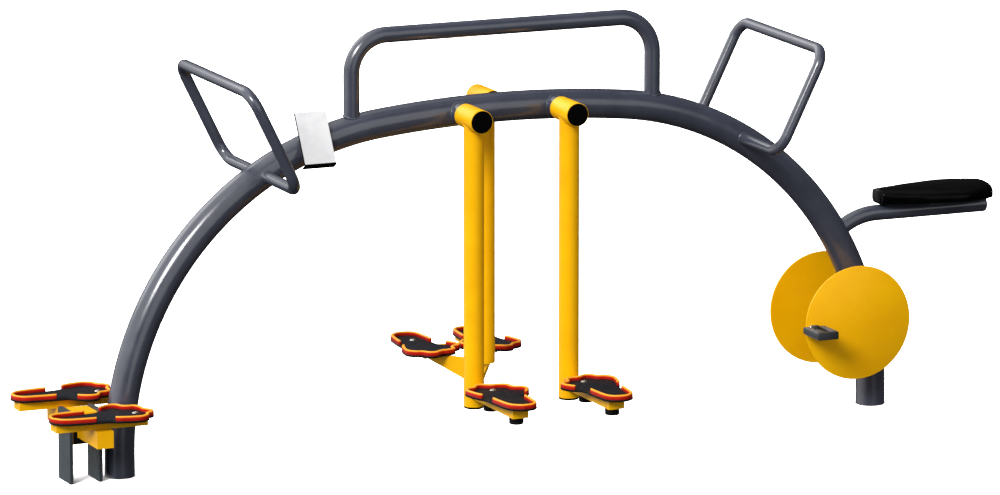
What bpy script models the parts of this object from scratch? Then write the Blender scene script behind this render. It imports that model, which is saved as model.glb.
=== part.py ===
"""Childrens fitness station for a playground or park: one bent steel arch that carries five exercises.

Two swinging foot stations hang from the front of the crown and one double one from its rear. Outside the
left leg a rubber-sprung rocker stands on two steel uprights. Outside the right leg a saddle stands on a bent
post, over a pair of crank discs with pedals in front of it. A handrail stands on the crown, a hand loop on
each shoulder, and a bare instruction plate on the left shoulder.

Metres, Z up. The arch lies in the XZ plane with its feet on the ground at Z = 0. Every piece is placed from
the arch's centre line, and one empty shifts the whole station so that its plan is centred on the origin.
"""

import math

import bmesh
import bpy
from mathutils import Matrix, Vector

# Clearances, and how far a cutter runs past what it cuts
FIT = 0.0003
OVERRUN = 0.02
MERGE_DISTANCE = 0.00001

# Arch: straight feet, two shoulder bends and a flat crown bend, all in one tube
ARCH_DIAMETER = 0.0889
ARCH_WALL = 0.004
ARCH_HALF_SPAN = 1.226
SHOULDER_RADIUS = 0.93
CROWN_RADIUS = 3.6
FOOT_HEIGHT = 0.067

# Handrail over the crown
RAIL_DIAMETER = 0.0483
RAIL_WALL = 0.003
RAIL_POST_X = 0.4867
RAIL_RISE = 0.2424
RAIL_BEND = 0.11

# Hand loops on the shoulders
LOOP_DIAMETER = 0.0337
LOOP_WALL = 0.0026
LOOP_X = 0.772
LOOP_LENGTH = 0.584
LOOP_HEIGHT = 0.332
LOOP_CORNER = 0.055
LOOP_LEAN = math.radians(26.2)

# Swing pivots: a stub welded to the arch holds an axle, which carries the arm's sleeve on two bearings
FRONT_PIVOT_X = 0.154
STUB_DIAMETER = 0.0635
STUB_END = 0.073
SLEEVE_START = 0.0755
SLEEVE_END = 0.200
SLEEVE_DIAMETER = 0.070
SLEEVE_MIDDLE_BORE = 0.046
SLEEVE_LIP = 0.003
AXLE_DIAMETER = 0.025
AXLE_ROOT_DIAMETER = 0.032
AXLE_ROOT_GAP = 0.0012
AXLE_COLLAR_DIAMETER = 0.033
BEARING_DIAMETER = 0.052
BEARING_WIDTH = 0.015
AXLE_HEAD_ACROSS_FLATS = 0.030
AXLE_HEAD_HEIGHT = 0.010
AXLE_HEAD_CLEARANCE = 0.002
SPACER_WALL = 0.004
SLEEVE_CAP_DIAMETER = 0.0624
SLEEVE_CAP_THICKNESS = 0.005
CAP_BULGE = 0.0015
CAP_CREST_SHARE = 0.8

# Swing arms, of straight tube, and the black caps that close them below
ARM_DIAMETER = 0.0603
ARM_WALL = 0.0032
ARM_REACH = 0.1375
ARM_BOTTOM_Z = 0.138
ARM_CAP_THICKNESS = 0.006

# Foot pads: a footprint-shaped base with a raised rim round the toes and round the heel
PAD_LENGTH = 0.315
PAD_WIDTH = 0.187
PAD_BASE = 0.007
RIM_HEIGHT = 0.014
RIM_WIDTH = 0.0095
RIM_INSET = 0.0006
RIM_GAP_HEEL_SHARE = -0.095
RIM_GAP_TOE_SHARE = 0.08
BOLT_TOE_SHARE = 0.35
BOLT_HEEL_SHARE = -0.24
# Outline of a foot as shares of the pad's length (toes positive) and width (big toe positive)
FOOTPRINT_SHARES = (
    (-0.500, -0.045), (-0.477, 0.107), (-0.397, 0.203), (-0.210, 0.240), (0.000, 0.267), (0.080, 0.405),
    (0.175, 0.492), (0.262, 0.470), (0.312, 0.335), (0.410, 0.290), (0.446, 0.150), (0.450, 0.040),
    (0.499, -0.107), (0.478, -0.230), (0.420, -0.300), (0.390, -0.420), (0.300, -0.505), (0.127, -0.455),
    (0.000, -0.364), (-0.200, -0.340), (-0.400, -0.285), (-0.484, -0.150),
)
PAD_BOLT_DIAMETER = 0.010
PAD_BOLT_HEAD = 0.020
PAD_BOLT_HEAD_HEIGHT = 0.004
PAD_BOLT_CREST_SHARE = 0.6
PAD_BOLT_CREST_DROP = 0.0005
PAD_BOLT_EDGE_HEIGHT = 0.0013
PAD_NUT_ACROSS_FLATS = 0.017
PAD_NUT_HEIGHT = 0.008
PAD_BOLT_TAIL = 0.002
WELD_OVERLAP = 0.001

# Folded steel channels under the pads, open downwards
CHANNEL_WIDTH = 0.050
CHANNEL_HEIGHT = 0.031
CHANNEL_SHEET = 0.003
BUMPER_DIAMETER = 0.043
BUMPER_BOTTOM_Z = 0.1555
BUMPER_CHAMFER = 0.002

# Front swing stations
FRONT_PAD_X = 0.147
FRONT_PAD_Y = -0.375
FRONT_RIM_TOP_Z = 0.2295
FRONT_CHANNEL_END_Y = -0.486
FRONT_BUMPER_END_GAP = 0.0077

# Rear swing station: two pads side by side on one arm
REAR_PAD_X = 0.0955
REAR_PAD_Y = 0.396
REAR_RIM_TOP_Z = 0.230
REAR_CHANNEL_HEIGHT = 0.018
REAR_CHANNEL_START_Y = 0.320
REAR_CHANNEL_END_Y = 0.535
REAR_CROSS_PLATE_START_Y = 0.345
REAR_CROSS_PLATE_END_Y = 0.425
GUSSET_SHEET = 0.006
GUSSET_MEET_Y = 0.175
GUSSET_END_X = 0.110
GUSSET_END_DEPTH = 0.016
GUSSET_MEET_DEPTH = 0.088
WEB_FRONT_Y = 0.115
WEB_FRONT_DEPTH = 0.010
ARM_PLATE_THICKNESS = 0.006

# Rocker: uprights in the ground, a through axle, and a beam on rubber bushes
ROCKER_X = -1.348
UPRIGHT_SPACING = 0.091
UPRIGHT_THICKNESS = 0.010
UPRIGHT_WIDTH = 0.100
UPRIGHT_HEIGHT = 0.217
UPRIGHT_CORNER = 0.012
ROCKER_AXLE_Z = 0.166
HUB_LENGTH = 0.078
HUB_WIDTH = 0.090
HUB_BOTTOM_Z = 0.118
HUB_TOP_Z = 0.210
HUB_BORE = 0.072
ROCKER_AXLE_DIAMETER = 0.030
ROCKER_AXLE_END_DIAMETER = 0.024
ROCKER_NUT_ACROSS_FLATS = 0.036
ROCKER_NUT_HEIGHT = 0.010
ROCKER_AXLE_TAIL = 0.004
BEAM_WIDTH = 0.050
BEAM_BOTTOM_Z = 0.139
BEAM_TOP_Z = 0.190
BEAM_HALF_LENGTH = 0.215
BEAM_SHEET = 0.004
ROCKER_PAD_Y = 0.158
ROCKER_PAD_SHIFT = 0.004
ROCKER_RIM_TOP_Z = 0.2363
ROCKER_CHANNEL_HEEL_SHARE = -0.455
ROCKER_CHANNEL_TOE_SHARE = 0.445

# Saddle and the bent post that carries it
SEAT_POST_DIAMETER = 0.0483
SEAT_POST_WALL = 0.003
SEAT_POST_BEND = 0.20
SEAT_POST_PITCH = math.radians(40)
SEAT_POST_Z = 0.594
SEAT_POST_BEND_GAP = 0.0190
SEAT_POST_END_X = 1.610
SEAT_NOSE_X = 1.238
SEAT_LENGTH = 0.376
SEAT_WIDTH = 0.240
SEAT_EDGE_Z = 0.660
SEAT_BOTTOM_Z = 0.630
SEAT_CROWN = 0.009
SEAT_PLATE_LENGTH = 0.150
SEAT_PLATE_WIDTH = 0.110
SEAT_PLATE_THICKNESS = 0.005
SEAT_PLATE_X = 1.460
SEAT_CRADLE_LENGTH = 0.090
SEAT_CRADLE_WIDTH = 0.040
# Half width of the saddle, as (share of its length from the nose, share of its whole width)
SADDLE_SHARES = (
    (0.000, 0.085), (0.020, 0.160), (0.070, 0.205), (0.190, 0.275), (0.345, 0.375), (0.525, 0.448),
    (0.680, 0.497), (0.810, 0.475), (0.920, 0.385), (0.978, 0.290), (1.000, 0.215),
)

# Crank on the inner side of the right leg: a bearing housing, two discs and a pedal on each
CRANK_INSET = 0.0798
CRANK_Z = 0.286
CRANK_HOUSING_DIAMETER = 0.0761
CRANK_HOUSING_LENGTH = 0.110
CRANK_AXLE_DIAMETER = 0.025
CRANK_FLANGE_DIAMETER = 0.060
CRANK_FLANGE_THICKNESS = 0.008
DISC_DIAMETER = 0.350
DISC_THICKNESS = 0.005
DISC_Y = 0.1255
SPINDLE_RADIUS_ON_DISC = 0.158
CRANK_TURN = math.radians(1.8)
SPINDLE_DIAMETER = 0.014
SPINDLE_COLLAR_DIAMETER = 0.024
SPINDLE_COLLAR_LENGTH = 0.012
SPINDLE_NUT_ACROSS_FLATS = 0.022
SPINDLE_NUT_HEIGHT = 0.009
SPINDLE_TAIL = 0.002
PEDAL_WIDTH = 0.107
PEDAL_LENGTH = 0.070
PEDAL_HEIGHT = 0.024
PEDAL_CLEARANCE = 0.0015
PEDAL_BORE_CLEARANCE = 0.0005
PEDAL_END_WALL = 0.006
PEDAL_GROOVE_WIDTH = 0.006
PEDAL_GROOVE_DEPTH = 0.003
PEDAL_GROOVES = 3

# Bare instruction plate: a folded tray on a short round bracket
SIGN_WIDTH = 0.100
SIGN_HEIGHT = 0.159
SIGN_DEPTH = 0.010
SIGN_SHEET = 0.002
SIGN_X = -0.626
SIGN_STANDOFF = 0.0716
SIGN_TILT = math.radians(30.2)
SIGN_BRACKET_DIAMETER = 0.042

# Facet counts
ARCH_RESOLUTION = 6
RAIL_RESOLUTION = 4
LOOP_RESOLUTION = 3
BORE_RESOLUTION = 2
ROUND_SIDES = 16
SMALL_SIDES = 10
DISC_SIDES = 40
BEND_STEPS = 5
SHOULDER_STEPS = 10
CROWN_STEPS = 4
OUTLINE_STEPS = 2
SECTION_STEPS = 4
SHARP_ANGLE = math.radians(35)

# Worked out from the sizes above
ARCH_RADIUS = ARCH_DIAMETER / 2
SHOULDER_X = ARCH_HALF_SPAN - SHOULDER_RADIUS
JOIN_ANGLE = math.asin(SHOULDER_X / (CROWN_RADIUS - SHOULDER_RADIUS))
CROWN_CENTRE_Z = FOOT_HEIGHT - (CROWN_RADIUS - SHOULDER_RADIUS) * math.cos(JOIN_ANGLE)
RAIL_TOP_Z = CROWN_CENTRE_Z + CROWN_RADIUS + RAIL_RISE
CRANK_X = SHOULDER_X + math.sqrt(SHOULDER_RADIUS**2 - (CRANK_Z - FOOT_HEIGHT) ** 2) - CRANK_INSET
SEAT_POST_BEND_Z = SEAT_POST_Z - SEAT_POST_BEND * (1 - math.cos(SEAT_POST_PITCH))
SEAT_POST_FOOT_X = SHOULDER_X + math.sqrt(SHOULDER_RADIUS**2 - (SEAT_POST_BEND_Z - FOOT_HEIGHT) ** 2)
SEAT_POST_LEVEL_X = SEAT_POST_FOOT_X + SEAT_POST_BEND_GAP + SEAT_POST_BEND * math.sin(SEAT_POST_PITCH)
PAD_THICKNESS = PAD_BASE + RIM_HEIGHT
FRONT_PAD_Z = FRONT_RIM_TOP_Z - PAD_THICKNESS
REAR_PAD_Z = REAR_RIM_TOP_Z - PAD_THICKNESS
ROCKER_PAD_Z = ROCKER_RIM_TOP_Z - PAD_THICKNESS
SEAT_REAR_X = SEAT_NOSE_X + SEAT_LENGTH
PLAN_LEFT = ROCKER_X + ROCKER_PAD_SHIFT - PAD_LENGTH / 2
PLAN_RIGHT = max(SEAT_REAR_X, SEAT_POST_END_X)
PLAN_FRONT = FRONT_PAD_Y - PAD_LENGTH / 2
PLAN_REAR = REAR_PAD_Y + PAD_LENGTH / 2
PLAN_CENTRE = Vector(((PLAN_LEFT + PLAN_RIGHT) / 2, (PLAN_FRONT + PLAN_REAR) / 2, 0))

QUARTER = math.pi / 2
AIM_FRONT = (QUARTER, 0, 0)
AIM_RIGHT = (0, QUARTER, 0)


def clear_scene():
    for ob in list(bpy.data.objects):
        bpy.data.objects.remove(ob, do_unlink=True)


def collection(name, hidden=False):
    group = bpy.data.collections.new(name)
    bpy.context.scene.collection.children.link(group)
    group.hide_render = hidden
    return group


def material(name, colour, roughness, metallic):
    paint = bpy.data.materials.new(name)
    paint.use_nodes = True
    shader = paint.node_tree.nodes["Principled BSDF"]
    shader.inputs["Base Color"].default_value = (*colour, 1)
    shader.inputs["Roughness"].default_value = roughness
    shader.inputs["Metallic"].default_value = metallic
    return paint


clear_scene()
PARTS = collection("childrens_fitness_station")
CUTTERS = collection("cutters", hidden=True)
GREY = material("graphite_powder_coat", (0.06, 0.06, 0.065), 0.4, 0.0)
YELLOW = material("yellow_powder_coat", (0.92, 0.50, 0.01), 0.35, 0.0)
RED = material("red_moulded_rim", (0.58, 0.015, 0.004), 0.45, 0.0)
DECK = material("black_moulded_rubber", (0.022, 0.026, 0.032), 0.7, 0.0)
BLACK = material("black_plastic", (0.006, 0.006, 0.006), 0.35, 0.0)
ZINC = material("zinc_plated_steel", (0.62, 0.62, 0.60), 0.3, 1.0)
STEEL = material("bright_steel", (0.55, 0.56, 0.58), 0.25, 1.0)
WHITE = material("white_sheet", (0.88, 0.88, 0.88), 0.4, 0.0)


def empty(name, parent=None, location=(0, 0, 0), rotation=(0, 0, 0)):
    frame = bpy.data.objects.new(name, None)
    PARTS.objects.link(frame)
    frame.parent = parent
    frame.location = location
    frame.rotation_euler = rotation
    return frame


STATION = empty("station_frame", location=-PLAN_CENTRE)


def part(name, mesh, paint, parent=STATION, location=(0, 0, 0), rotation=(0, 0, 0), smooth=True):
    """A finished piece: a mesh object with its material, set in its parent's frame."""
    ob = bpy.data.objects.new(name, mesh)
    PARTS.objects.link(ob)
    ob.parent = parent
    ob.location = location
    ob.rotation_euler = rotation
    mesh.materials.clear()
    mesh.materials.append(paint)
    if smooth:
        mesh.shade_smooth()
        mesh.set_sharp_from_angle(angle=SHARP_ANGLE)
    return ob


def cutter(name, mesh, parent=STATION, location=(0, 0, 0), rotation=(0, 0, 0)):
    ob = bpy.data.objects.new(name, mesh)
    CUTTERS.objects.link(ob)
    ob.parent = parent
    ob.location = location
    ob.rotation_euler = rotation
    ob.hide_render = True
    ob.display_type = "WIRE"
    return ob


def boolean(ob, tool, operation="DIFFERENCE"):
    step = ob.modifiers.new(tool.name, "BOOLEAN")
    step.operation = operation
    step.solver = "EXACT"
    step.object = tool
    return step


def hole_radius(radius, sides):
    """Corner radius of a faceted hole whose flats clear a round pin of this radius by FIT."""
    return (radius + FIT) / math.cos(math.pi / sides)


def arc(centre, radius, start, end, steps):
    """Points on an arc in the XZ plane; angles run from +Z towards +X."""
    turns = [start + (end - start) * step / steps for step in range(steps + 1)]
    return [Vector((centre[0] + radius * math.sin(t), 0, centre[1] + radius * math.cos(t))) for t in turns]


def tube_mesh(name, points, radius, resolution, closed=False):
    """A round bar along these points, swept as a bevelled curve and turned into one closed mesh."""
    curve = bpy.data.curves.new(name, "CURVE")
    curve.dimensions = "3D"
    curve.bevel_depth = radius
    curve.bevel_resolution = resolution
    curve.use_fill_caps = not closed
    spline = curve.splines.new("POLY")
    spline.points.add(len(points) - 1)
    for place, point in zip(spline.points, points):
        place.co = (*point, 1)
    spline.use_cyclic_u = closed
    return curve_to_mesh(name, curve)


def curve_to_mesh(name, curve):
    ob = bpy.data.objects.new(name, curve)
    CUTTERS.objects.link(ob)
    evaluated = ob.evaluated_get(bpy.context.evaluated_depsgraph_get())
    mesh = bpy.data.meshes.new_from_object(evaluated)
    mesh.name = name
    bpy.data.objects.remove(ob, do_unlink=True)
    body = bmesh.new()
    body.from_mesh(mesh)
    bmesh.ops.remove_doubles(body, verts=body.verts, dist=MERGE_DISTANCE)
    bmesh.ops.recalc_face_normals(body, faces=body.faces)
    body.to_mesh(mesh)
    body.free()
    return mesh


def flat_mesh(name, outlines, bottom, top):
    """A flat plate between two heights, from closed outlines in XY; a second outline inside is a hole."""
    curve = bpy.data.curves.new(name, "CURVE")
    curve.dimensions = "2D"
    curve.fill_mode = "BOTH"
    curve.extrude = (top - bottom) / 2
    for outline in outlines:
        spline = curve.splines.new("POLY")
        spline.points.add(len(outline) - 1)
        for place, point in zip(spline.points, outline):
            place.co = (point[0], point[1], 0, 1)
        spline.use_cyclic_u = True
    mesh = curve_to_mesh(name, curve)
    mesh.transform(Matrix.Translation((0, 0, (top + bottom) / 2)))
    return mesh


def box_mesh(name, low, high):
    """A box between two corners."""
    low = Vector(low)
    high = Vector(high)
    body = bmesh.new()
    place = Matrix.Translation((low + high) / 2) @ Matrix.Diagonal((*(high - low), 1))
    bmesh.ops.create_cube(body, size=1, matrix=place)
    mesh = bpy.data.meshes.new(name)
    body.to_mesh(mesh)
    body.free()
    return mesh


def rod_mesh(name, radius, bottom, top, sides=ROUND_SIDES):
    """A round bar along Z."""
    body = bmesh.new()
    place = Matrix.Translation((0, 0, (bottom + top) / 2))
    bmesh.ops.create_cone(
        body, cap_ends=True, segments=sides, radius1=radius, radius2=radius, depth=top - bottom, matrix=place
    )
    mesh = bpy.data.meshes.new(name)
    body.to_mesh(mesh)
    body.free()
    return mesh


def profile_mesh(name, profile, closed=False):
    """The wire profile of a turned piece, as (radius, height) pairs from top to bottom of its outer side."""
    body = bmesh.new()
    corners = [body.verts.new((radius, 0, height)) for radius, height in profile]
    for first, second in zip(corners, corners[1:]):
        body.edges.new((first, second))
    if closed:
        body.edges.new((corners[-1], corners[0]))
    mesh = bpy.data.meshes.new(name)
    body.to_mesh(mesh)
    body.free()
    return mesh


def turn(ob, sides=ROUND_SIDES):
    """Turns the object's profile about its own Z axis."""
    screw = ob.modifiers.new("turned", "SCREW")
    screw.steps = sides
    screw.render_steps = sides
    screw.use_merge_vertices = True
    screw.merge_threshold = MERGE_DISTANCE
    screw.use_smooth_shade = True
    return ob


def channel(ob, low, high, sheet, parent, name):
    """Hollows a box from below into a folded channel with closed ends."""
    inside_low = (low[0] + sheet, low[1] + sheet, low[2] - OVERRUN)
    inside_high = (high[0] - sheet, high[1] - sheet, high[2] - sheet)
    hollow = cutter(name, box_mesh(name, inside_low, inside_high), parent)
    boolean(ob, hollow)
    return hollow


def arch_height(x):
    """Height of the arch's centre line at this distance from its middle."""
    x = abs(x)
    if x <= CROWN_RADIUS * math.sin(JOIN_ANGLE):
        return CROWN_CENTRE_Z + math.sqrt(CROWN_RADIUS**2 - x**2)
    return FOOT_HEIGHT + math.sqrt(SHOULDER_RADIUS**2 - (x - SHOULDER_X) ** 2)


def arch_points(overrun=0.0):
    """The arch's centre line from the left foot over the crown to the right foot."""
    right = [Vector((ARCH_HALF_SPAN, 0, -overrun))]
    right += arc((SHOULDER_X, FOOT_HEIGHT), SHOULDER_RADIUS, QUARTER, JOIN_ANGLE, SHOULDER_STEPS)
    crown = arc((0, CROWN_CENTRE_Z), CROWN_RADIUS, JOIN_ANGLE, -JOIN_ANGLE, CROWN_STEPS)
    left = [Vector((-point.x, 0, point.z)) for point in reversed(right)]
    return right[:-1] + crown + left[1:]


def make_arch():
    """The arch tube, and the cutter with which every joining tube is coped to it."""
    body = part("arch_tube", tube_mesh("arch_tube", arch_points(), ARCH_RADIUS, ARCH_RESOLUTION), GREY)
    bore = tube_mesh("arch_bore", arch_points(OVERRUN), ARCH_RADIUS - ARCH_WALL, BORE_RESOLUTION)
    boolean(body, cutter("arch_bore", bore))
    cope = tube_mesh("arch_cope", arch_points(OVERRUN), ARCH_RADIUS + FIT, ARCH_RESOLUTION)
    return cutter("arch_cope", cope)


def make_handrail(cope):
    """A low bent rail whose two posts stand on the crown."""
    foot = arch_height(RAIL_POST_X)
    bend_x = RAIL_POST_X - RAIL_BEND
    bend_z = RAIL_TOP_Z - RAIL_BEND
    right = arc((bend_x, bend_z), RAIL_BEND, QUARTER, 0, BEND_STEPS)
    left = [Vector((-point.x, 0, point.z)) for point in reversed(right)]
    ends = (Vector((RAIL_POST_X, 0, foot)), Vector((-RAIL_POST_X, 0, foot)))
    points = [ends[0], *right, *left, ends[1]]
    down = Vector((0, 0, OVERRUN))
    bore_points = [ends[0] - down, *right, *left, ends[1] - down]
    radius = RAIL_DIAMETER / 2
    rail = part("handrail", tube_mesh("handrail", points, radius, RAIL_RESOLUTION), GREY)
    bore = tube_mesh("handrail_bore", bore_points, radius - RAIL_WALL, BORE_RESOLUTION)
    boolean(rail, cutter("handrail_bore", bore))
    boolean(rail, cope)


def loop_points(side):
    """A rounded rectangle that stands on the arch's centre line and leans outwards."""
    half = LOOP_LENGTH / 2 - LOOP_CORNER
    outward = Vector((side * math.sin(LOOP_LEAN), 0, math.cos(LOOP_LEAN)))
    along = Vector((0, 1, 0))
    base = Vector((side * LOOP_X, 0, arch_height(LOOP_X)))
    corners = ((half, LOOP_HEIGHT - LOOP_CORNER), (-half, LOOP_HEIGHT - LOOP_CORNER))
    corners += ((-half, LOOP_CORNER), (half, LOOP_CORNER))
    points = []
    for index, (across, up) in enumerate(corners):
        for step in range(BEND_STEPS):
            angle = QUARTER * (index + step / (BEND_STEPS - 1))
            reach = across + LOOP_CORNER * math.cos(angle)
            height = up + LOOP_CORNER * math.sin(angle)
            points.append(base + along * reach + outward * height)
    return points


def make_handle_loop(name, side, cope):
    radius = LOOP_DIAMETER / 2
    loop = part(name, tube_mesh(name, loop_points(side), radius, LOOP_RESOLUTION, closed=True), GREY)
    bore = tube_mesh(f"{name}_bore", loop_points(side), radius - LOOP_WALL, BORE_RESOLUTION, closed=True)
    boolean(loop, cutter(f"{name}_bore", bore))
    boolean(loop, cope)


def make_stub(name, frame, cope):
    """A short thick tube, coped on the arch, whose bore holds the axle's root."""
    outer = STUB_DIAMETER / 2
    inner = hole_radius(AXLE_ROOT_DIAMETER / 2, ROUND_SIDES)
    stub = part(name, profile_mesh(name, ring(inner, outer, 0, STUB_END), closed=True), GREY, frame)
    stub.rotation_euler = AIM_FRONT
    turn(stub)
    boolean(stub, cope)


def ring(inner, outer, bottom, top):
    """Profile of a plain ring."""
    return [(outer, top), (outer, bottom), (inner, bottom), (inner, top)]


def bearing_starts():
    """Distances from the arch's plane at which a sleeve's two bearings start."""
    first = SLEEVE_START + SLEEVE_LIP
    last = SLEEVE_END - SLEEVE_CAP_THICKNESS - AXLE_HEAD_CLEARANCE - AXLE_HEAD_HEIGHT - BEARING_WIDTH
    return first, last


def make_pivot_axle(name, frame):
    """A shoulder bolt: root in the stub, collar against the inner bearing, journal and hexagon head."""
    first, last = bearing_starts()
    head = last + BEARING_WIDTH + FIT
    collar = AXLE_COLLAR_DIAMETER / 2
    journal = AXLE_DIAMETER / 2
    root = AXLE_ROOT_DIAMETER / 2
    root_start = ARCH_RADIUS + AXLE_ROOT_GAP
    profile = [
        (0, head + WELD_OVERLAP), (journal, head + WELD_OVERLAP), (journal, first - FIT),
        (collar, first - FIT), (collar, STUB_END + FIT), (root, STUB_END + FIT), (root, root_start),
        (0, root_start),
    ]
    axle = part(name, turned_mesh(name, profile, ROUND_SIDES), STEEL, frame)
    axle.rotation_euler = AIM_FRONT
    hexagon = hexagon_mesh(f"{name}_head", AXLE_HEAD_ACROSS_FLATS, head, head + AXLE_HEAD_HEIGHT)
    boolean(axle, cutter(f"{name}_head", hexagon, frame, (0, 0, 0), AIM_FRONT), "UNION")


def hexagon_mesh(name, across_flats, bottom, top):
    """A plain hexagon head or nut along Z."""
    return rod_mesh(name, across_flats / 2 / math.cos(math.pi / 6), bottom, top, 6)


def joined(name, meshes):
    """Separate closed bodies in one mesh, each already set in place."""
    body = bmesh.new()
    for mesh in meshes:
        body.from_mesh(mesh)
    whole = bpy.data.meshes.new(name)
    body.to_mesh(whole)
    body.free()
    return whole


def turned_mesh(name, profile, sides, closed=False):
    """A turned piece as a plain mesh about Z, for groups of equal pieces."""
    ob = bpy.data.objects.new(name, profile_mesh(name, profile, closed))
    CUTTERS.objects.link(ob)
    turn(ob, sides)
    mesh = bpy.data.meshes.new_from_object(ob.evaluated_get(bpy.context.evaluated_depsgraph_get()))
    bpy.data.objects.remove(ob, do_unlink=True)
    return mesh


def moved(mesh, matrix):
    copy = mesh.copy()
    copy.transform(matrix)
    return copy


def aimed(location, rotation):
    """A matrix that sets a piece made along Z at a place in its frame."""
    return Matrix.LocRotScale(Vector(location), Matrix.Rotation(rotation[0], 3, "X") @ Matrix.Rotation(
        rotation[1], 3, "Y") @ Matrix.Rotation(rotation[2], 3, "Z"), None)


def make_bearings(name, frame, bore, first, last, rotation=AIM_FRONT):
    """Two sealed bearings and the spacer tube between their inner races, as one turned stack."""
    inner = hole_radius(bore / 2, ROUND_SIDES)
    outer = BEARING_DIAMETER / 2
    race = inner + SPACER_WALL
    profile = [
        (outer, last + BEARING_WIDTH), (outer, last), (race, last), (race, first + BEARING_WIDTH),
        (outer, first + BEARING_WIDTH), (outer, first), (inner, first), (inner, last + BEARING_WIDTH),
    ]
    stack = part(name, profile_mesh(name, profile, closed=True), STEEL, frame)
    stack.rotation_euler = rotation
    turn(stack)


def make_arm(name, frame, bottom):
    """A swing arm: the bearing sleeve on top and a straight tube below, welded into one piece."""
    first, last = bearing_starts()
    outer = SLEEVE_DIAMETER / 2
    seat = hole_radius(BEARING_DIAMETER / 2, ROUND_SIDES)
    middle = SLEEVE_MIDDLE_BORE / 2
    mouth = hole_radius(SLEEVE_CAP_DIAMETER / 2, ROUND_SIDES)
    mouth_start = SLEEVE_END - SLEEVE_CAP_THICKNESS
    profile = [
        (outer, SLEEVE_END), (outer, SLEEVE_START), (seat, SLEEVE_START),
        (seat, first + BEARING_WIDTH + FIT), (middle, first + BEARING_WIDTH + FIT), (middle, last - FIT),
        (seat, last - FIT), (seat, mouth_start), (mouth, mouth_start), (mouth, SLEEVE_END),
    ]
    arm = part(name, turned_mesh(name, profile, ROUND_SIDES, closed=True), YELLOW, frame)
    arm.data.transform(aimed((0, 0, 0), AIM_FRONT))
    radius = ARM_DIAMETER / 2
    tube = cutter(f"{name}_tube", rod_mesh(f"{name}_tube", radius, bottom, 0), frame, (0, -ARM_REACH, 0))
    core = rod_mesh(f"{name}_core", outer - ARM_WALL / 2, SLEEVE_START / 2, SLEEVE_END + OVERRUN)
    boolean(tube, cutter(f"{name}_core", core, frame, (0, 0, 0), AIM_FRONT))
    bore_top = -(outer - ARM_WALL)
    bore = rod_mesh(f"{name}_bore", radius - ARM_WALL, bottom - OVERRUN, bore_top)
    boolean(arm, tube, "UNION")
    boolean(arm, cutter(f"{name}_bore", bore, frame, (0, -ARM_REACH, 0)))
    return arm


def make_sleeve_cap(name, frame):
    """The round cap in the sleeve's mouth."""
    radius = SLEEVE_CAP_DIAMETER / 2
    start = SLEEVE_END - SLEEVE_CAP_THICKNESS + FIT
    crest = (radius * CAP_CREST_SHARE, SLEEVE_END + CAP_BULGE * CAP_CREST_SHARE)
    dome = [(0, SLEEVE_END + CAP_BULGE), crest, (radius, SLEEVE_END), (radius, start), (0, start)]
    sleeve_cap = part(f"{name}_sleeve_cap", profile_mesh(name, dome), BLACK, frame)
    sleeve_cap.rotation_euler = AIM_FRONT
    turn(sleeve_cap)


def make_tube_cap(name, frame, pivot_z):
    """The round cap that closes a front arm's tube below."""
    outer = ARM_DIAMETER / 2
    plug = outer - ARM_WALL - FIT * 2
    low = ARM_BOTTOM_Z - pivot_z
    seat = low + ARM_CAP_THICKNESS - FIT
    profile = [
        (0, seat + ARM_CAP_THICKNESS), (plug, seat + ARM_CAP_THICKNESS), (plug, seat), (outer, seat),
        (outer, low + CAP_BULGE), (outer - CAP_BULGE, low), (0, low),
    ]
    tube_cap = part(f"{name}_tube_cap", profile_mesh(name, profile), BLACK, frame, (0, -ARM_REACH, 0))
    turn(tube_cap)


def smooth_outline(corners):
    """A closed outline through these points, rounded by a Catmull-Rom spline."""
    count = len(corners)
    points = []
    for index in range(count):
        before, start, end, after = (Vector(corners[(index + step) % count]) for step in (-1, 0, 1, 2))
        for step in range(OUTLINE_STEPS):
            t = step / OUTLINE_STEPS
            bend = (start - end) * 3 + after - before
            ease = before * 2 - start * 5 + end * 4 - after
            points.append(start + ((end - before) * t + ease * t**2 + bend * t**3) / 2)
    return points


def inset_outline(points, distance):
    """The same outline moved inwards, each point along the normal of its neighbours' chord."""
    moved_points = []
    count = len(points)
    for index, point in enumerate(points):
        chord = points[(index + 1) % count] - points[index - 1]
        inward = Vector((chord.y, -chord.x)).normalized()
        moved_points.append(point + inward * distance)
    return moved_points


def footprint(foot):
    """The pad's outline, with the big toe on the +Y side (1) or the -Y side (-1), always clockwise."""
    corners = [(length * PAD_LENGTH, foot * width * PAD_WIDTH) for length, width in FOOTPRINT_SHARES]
    outline = smooth_outline(corners)
    return outline if foot > 0 else outline[::-1]


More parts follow.
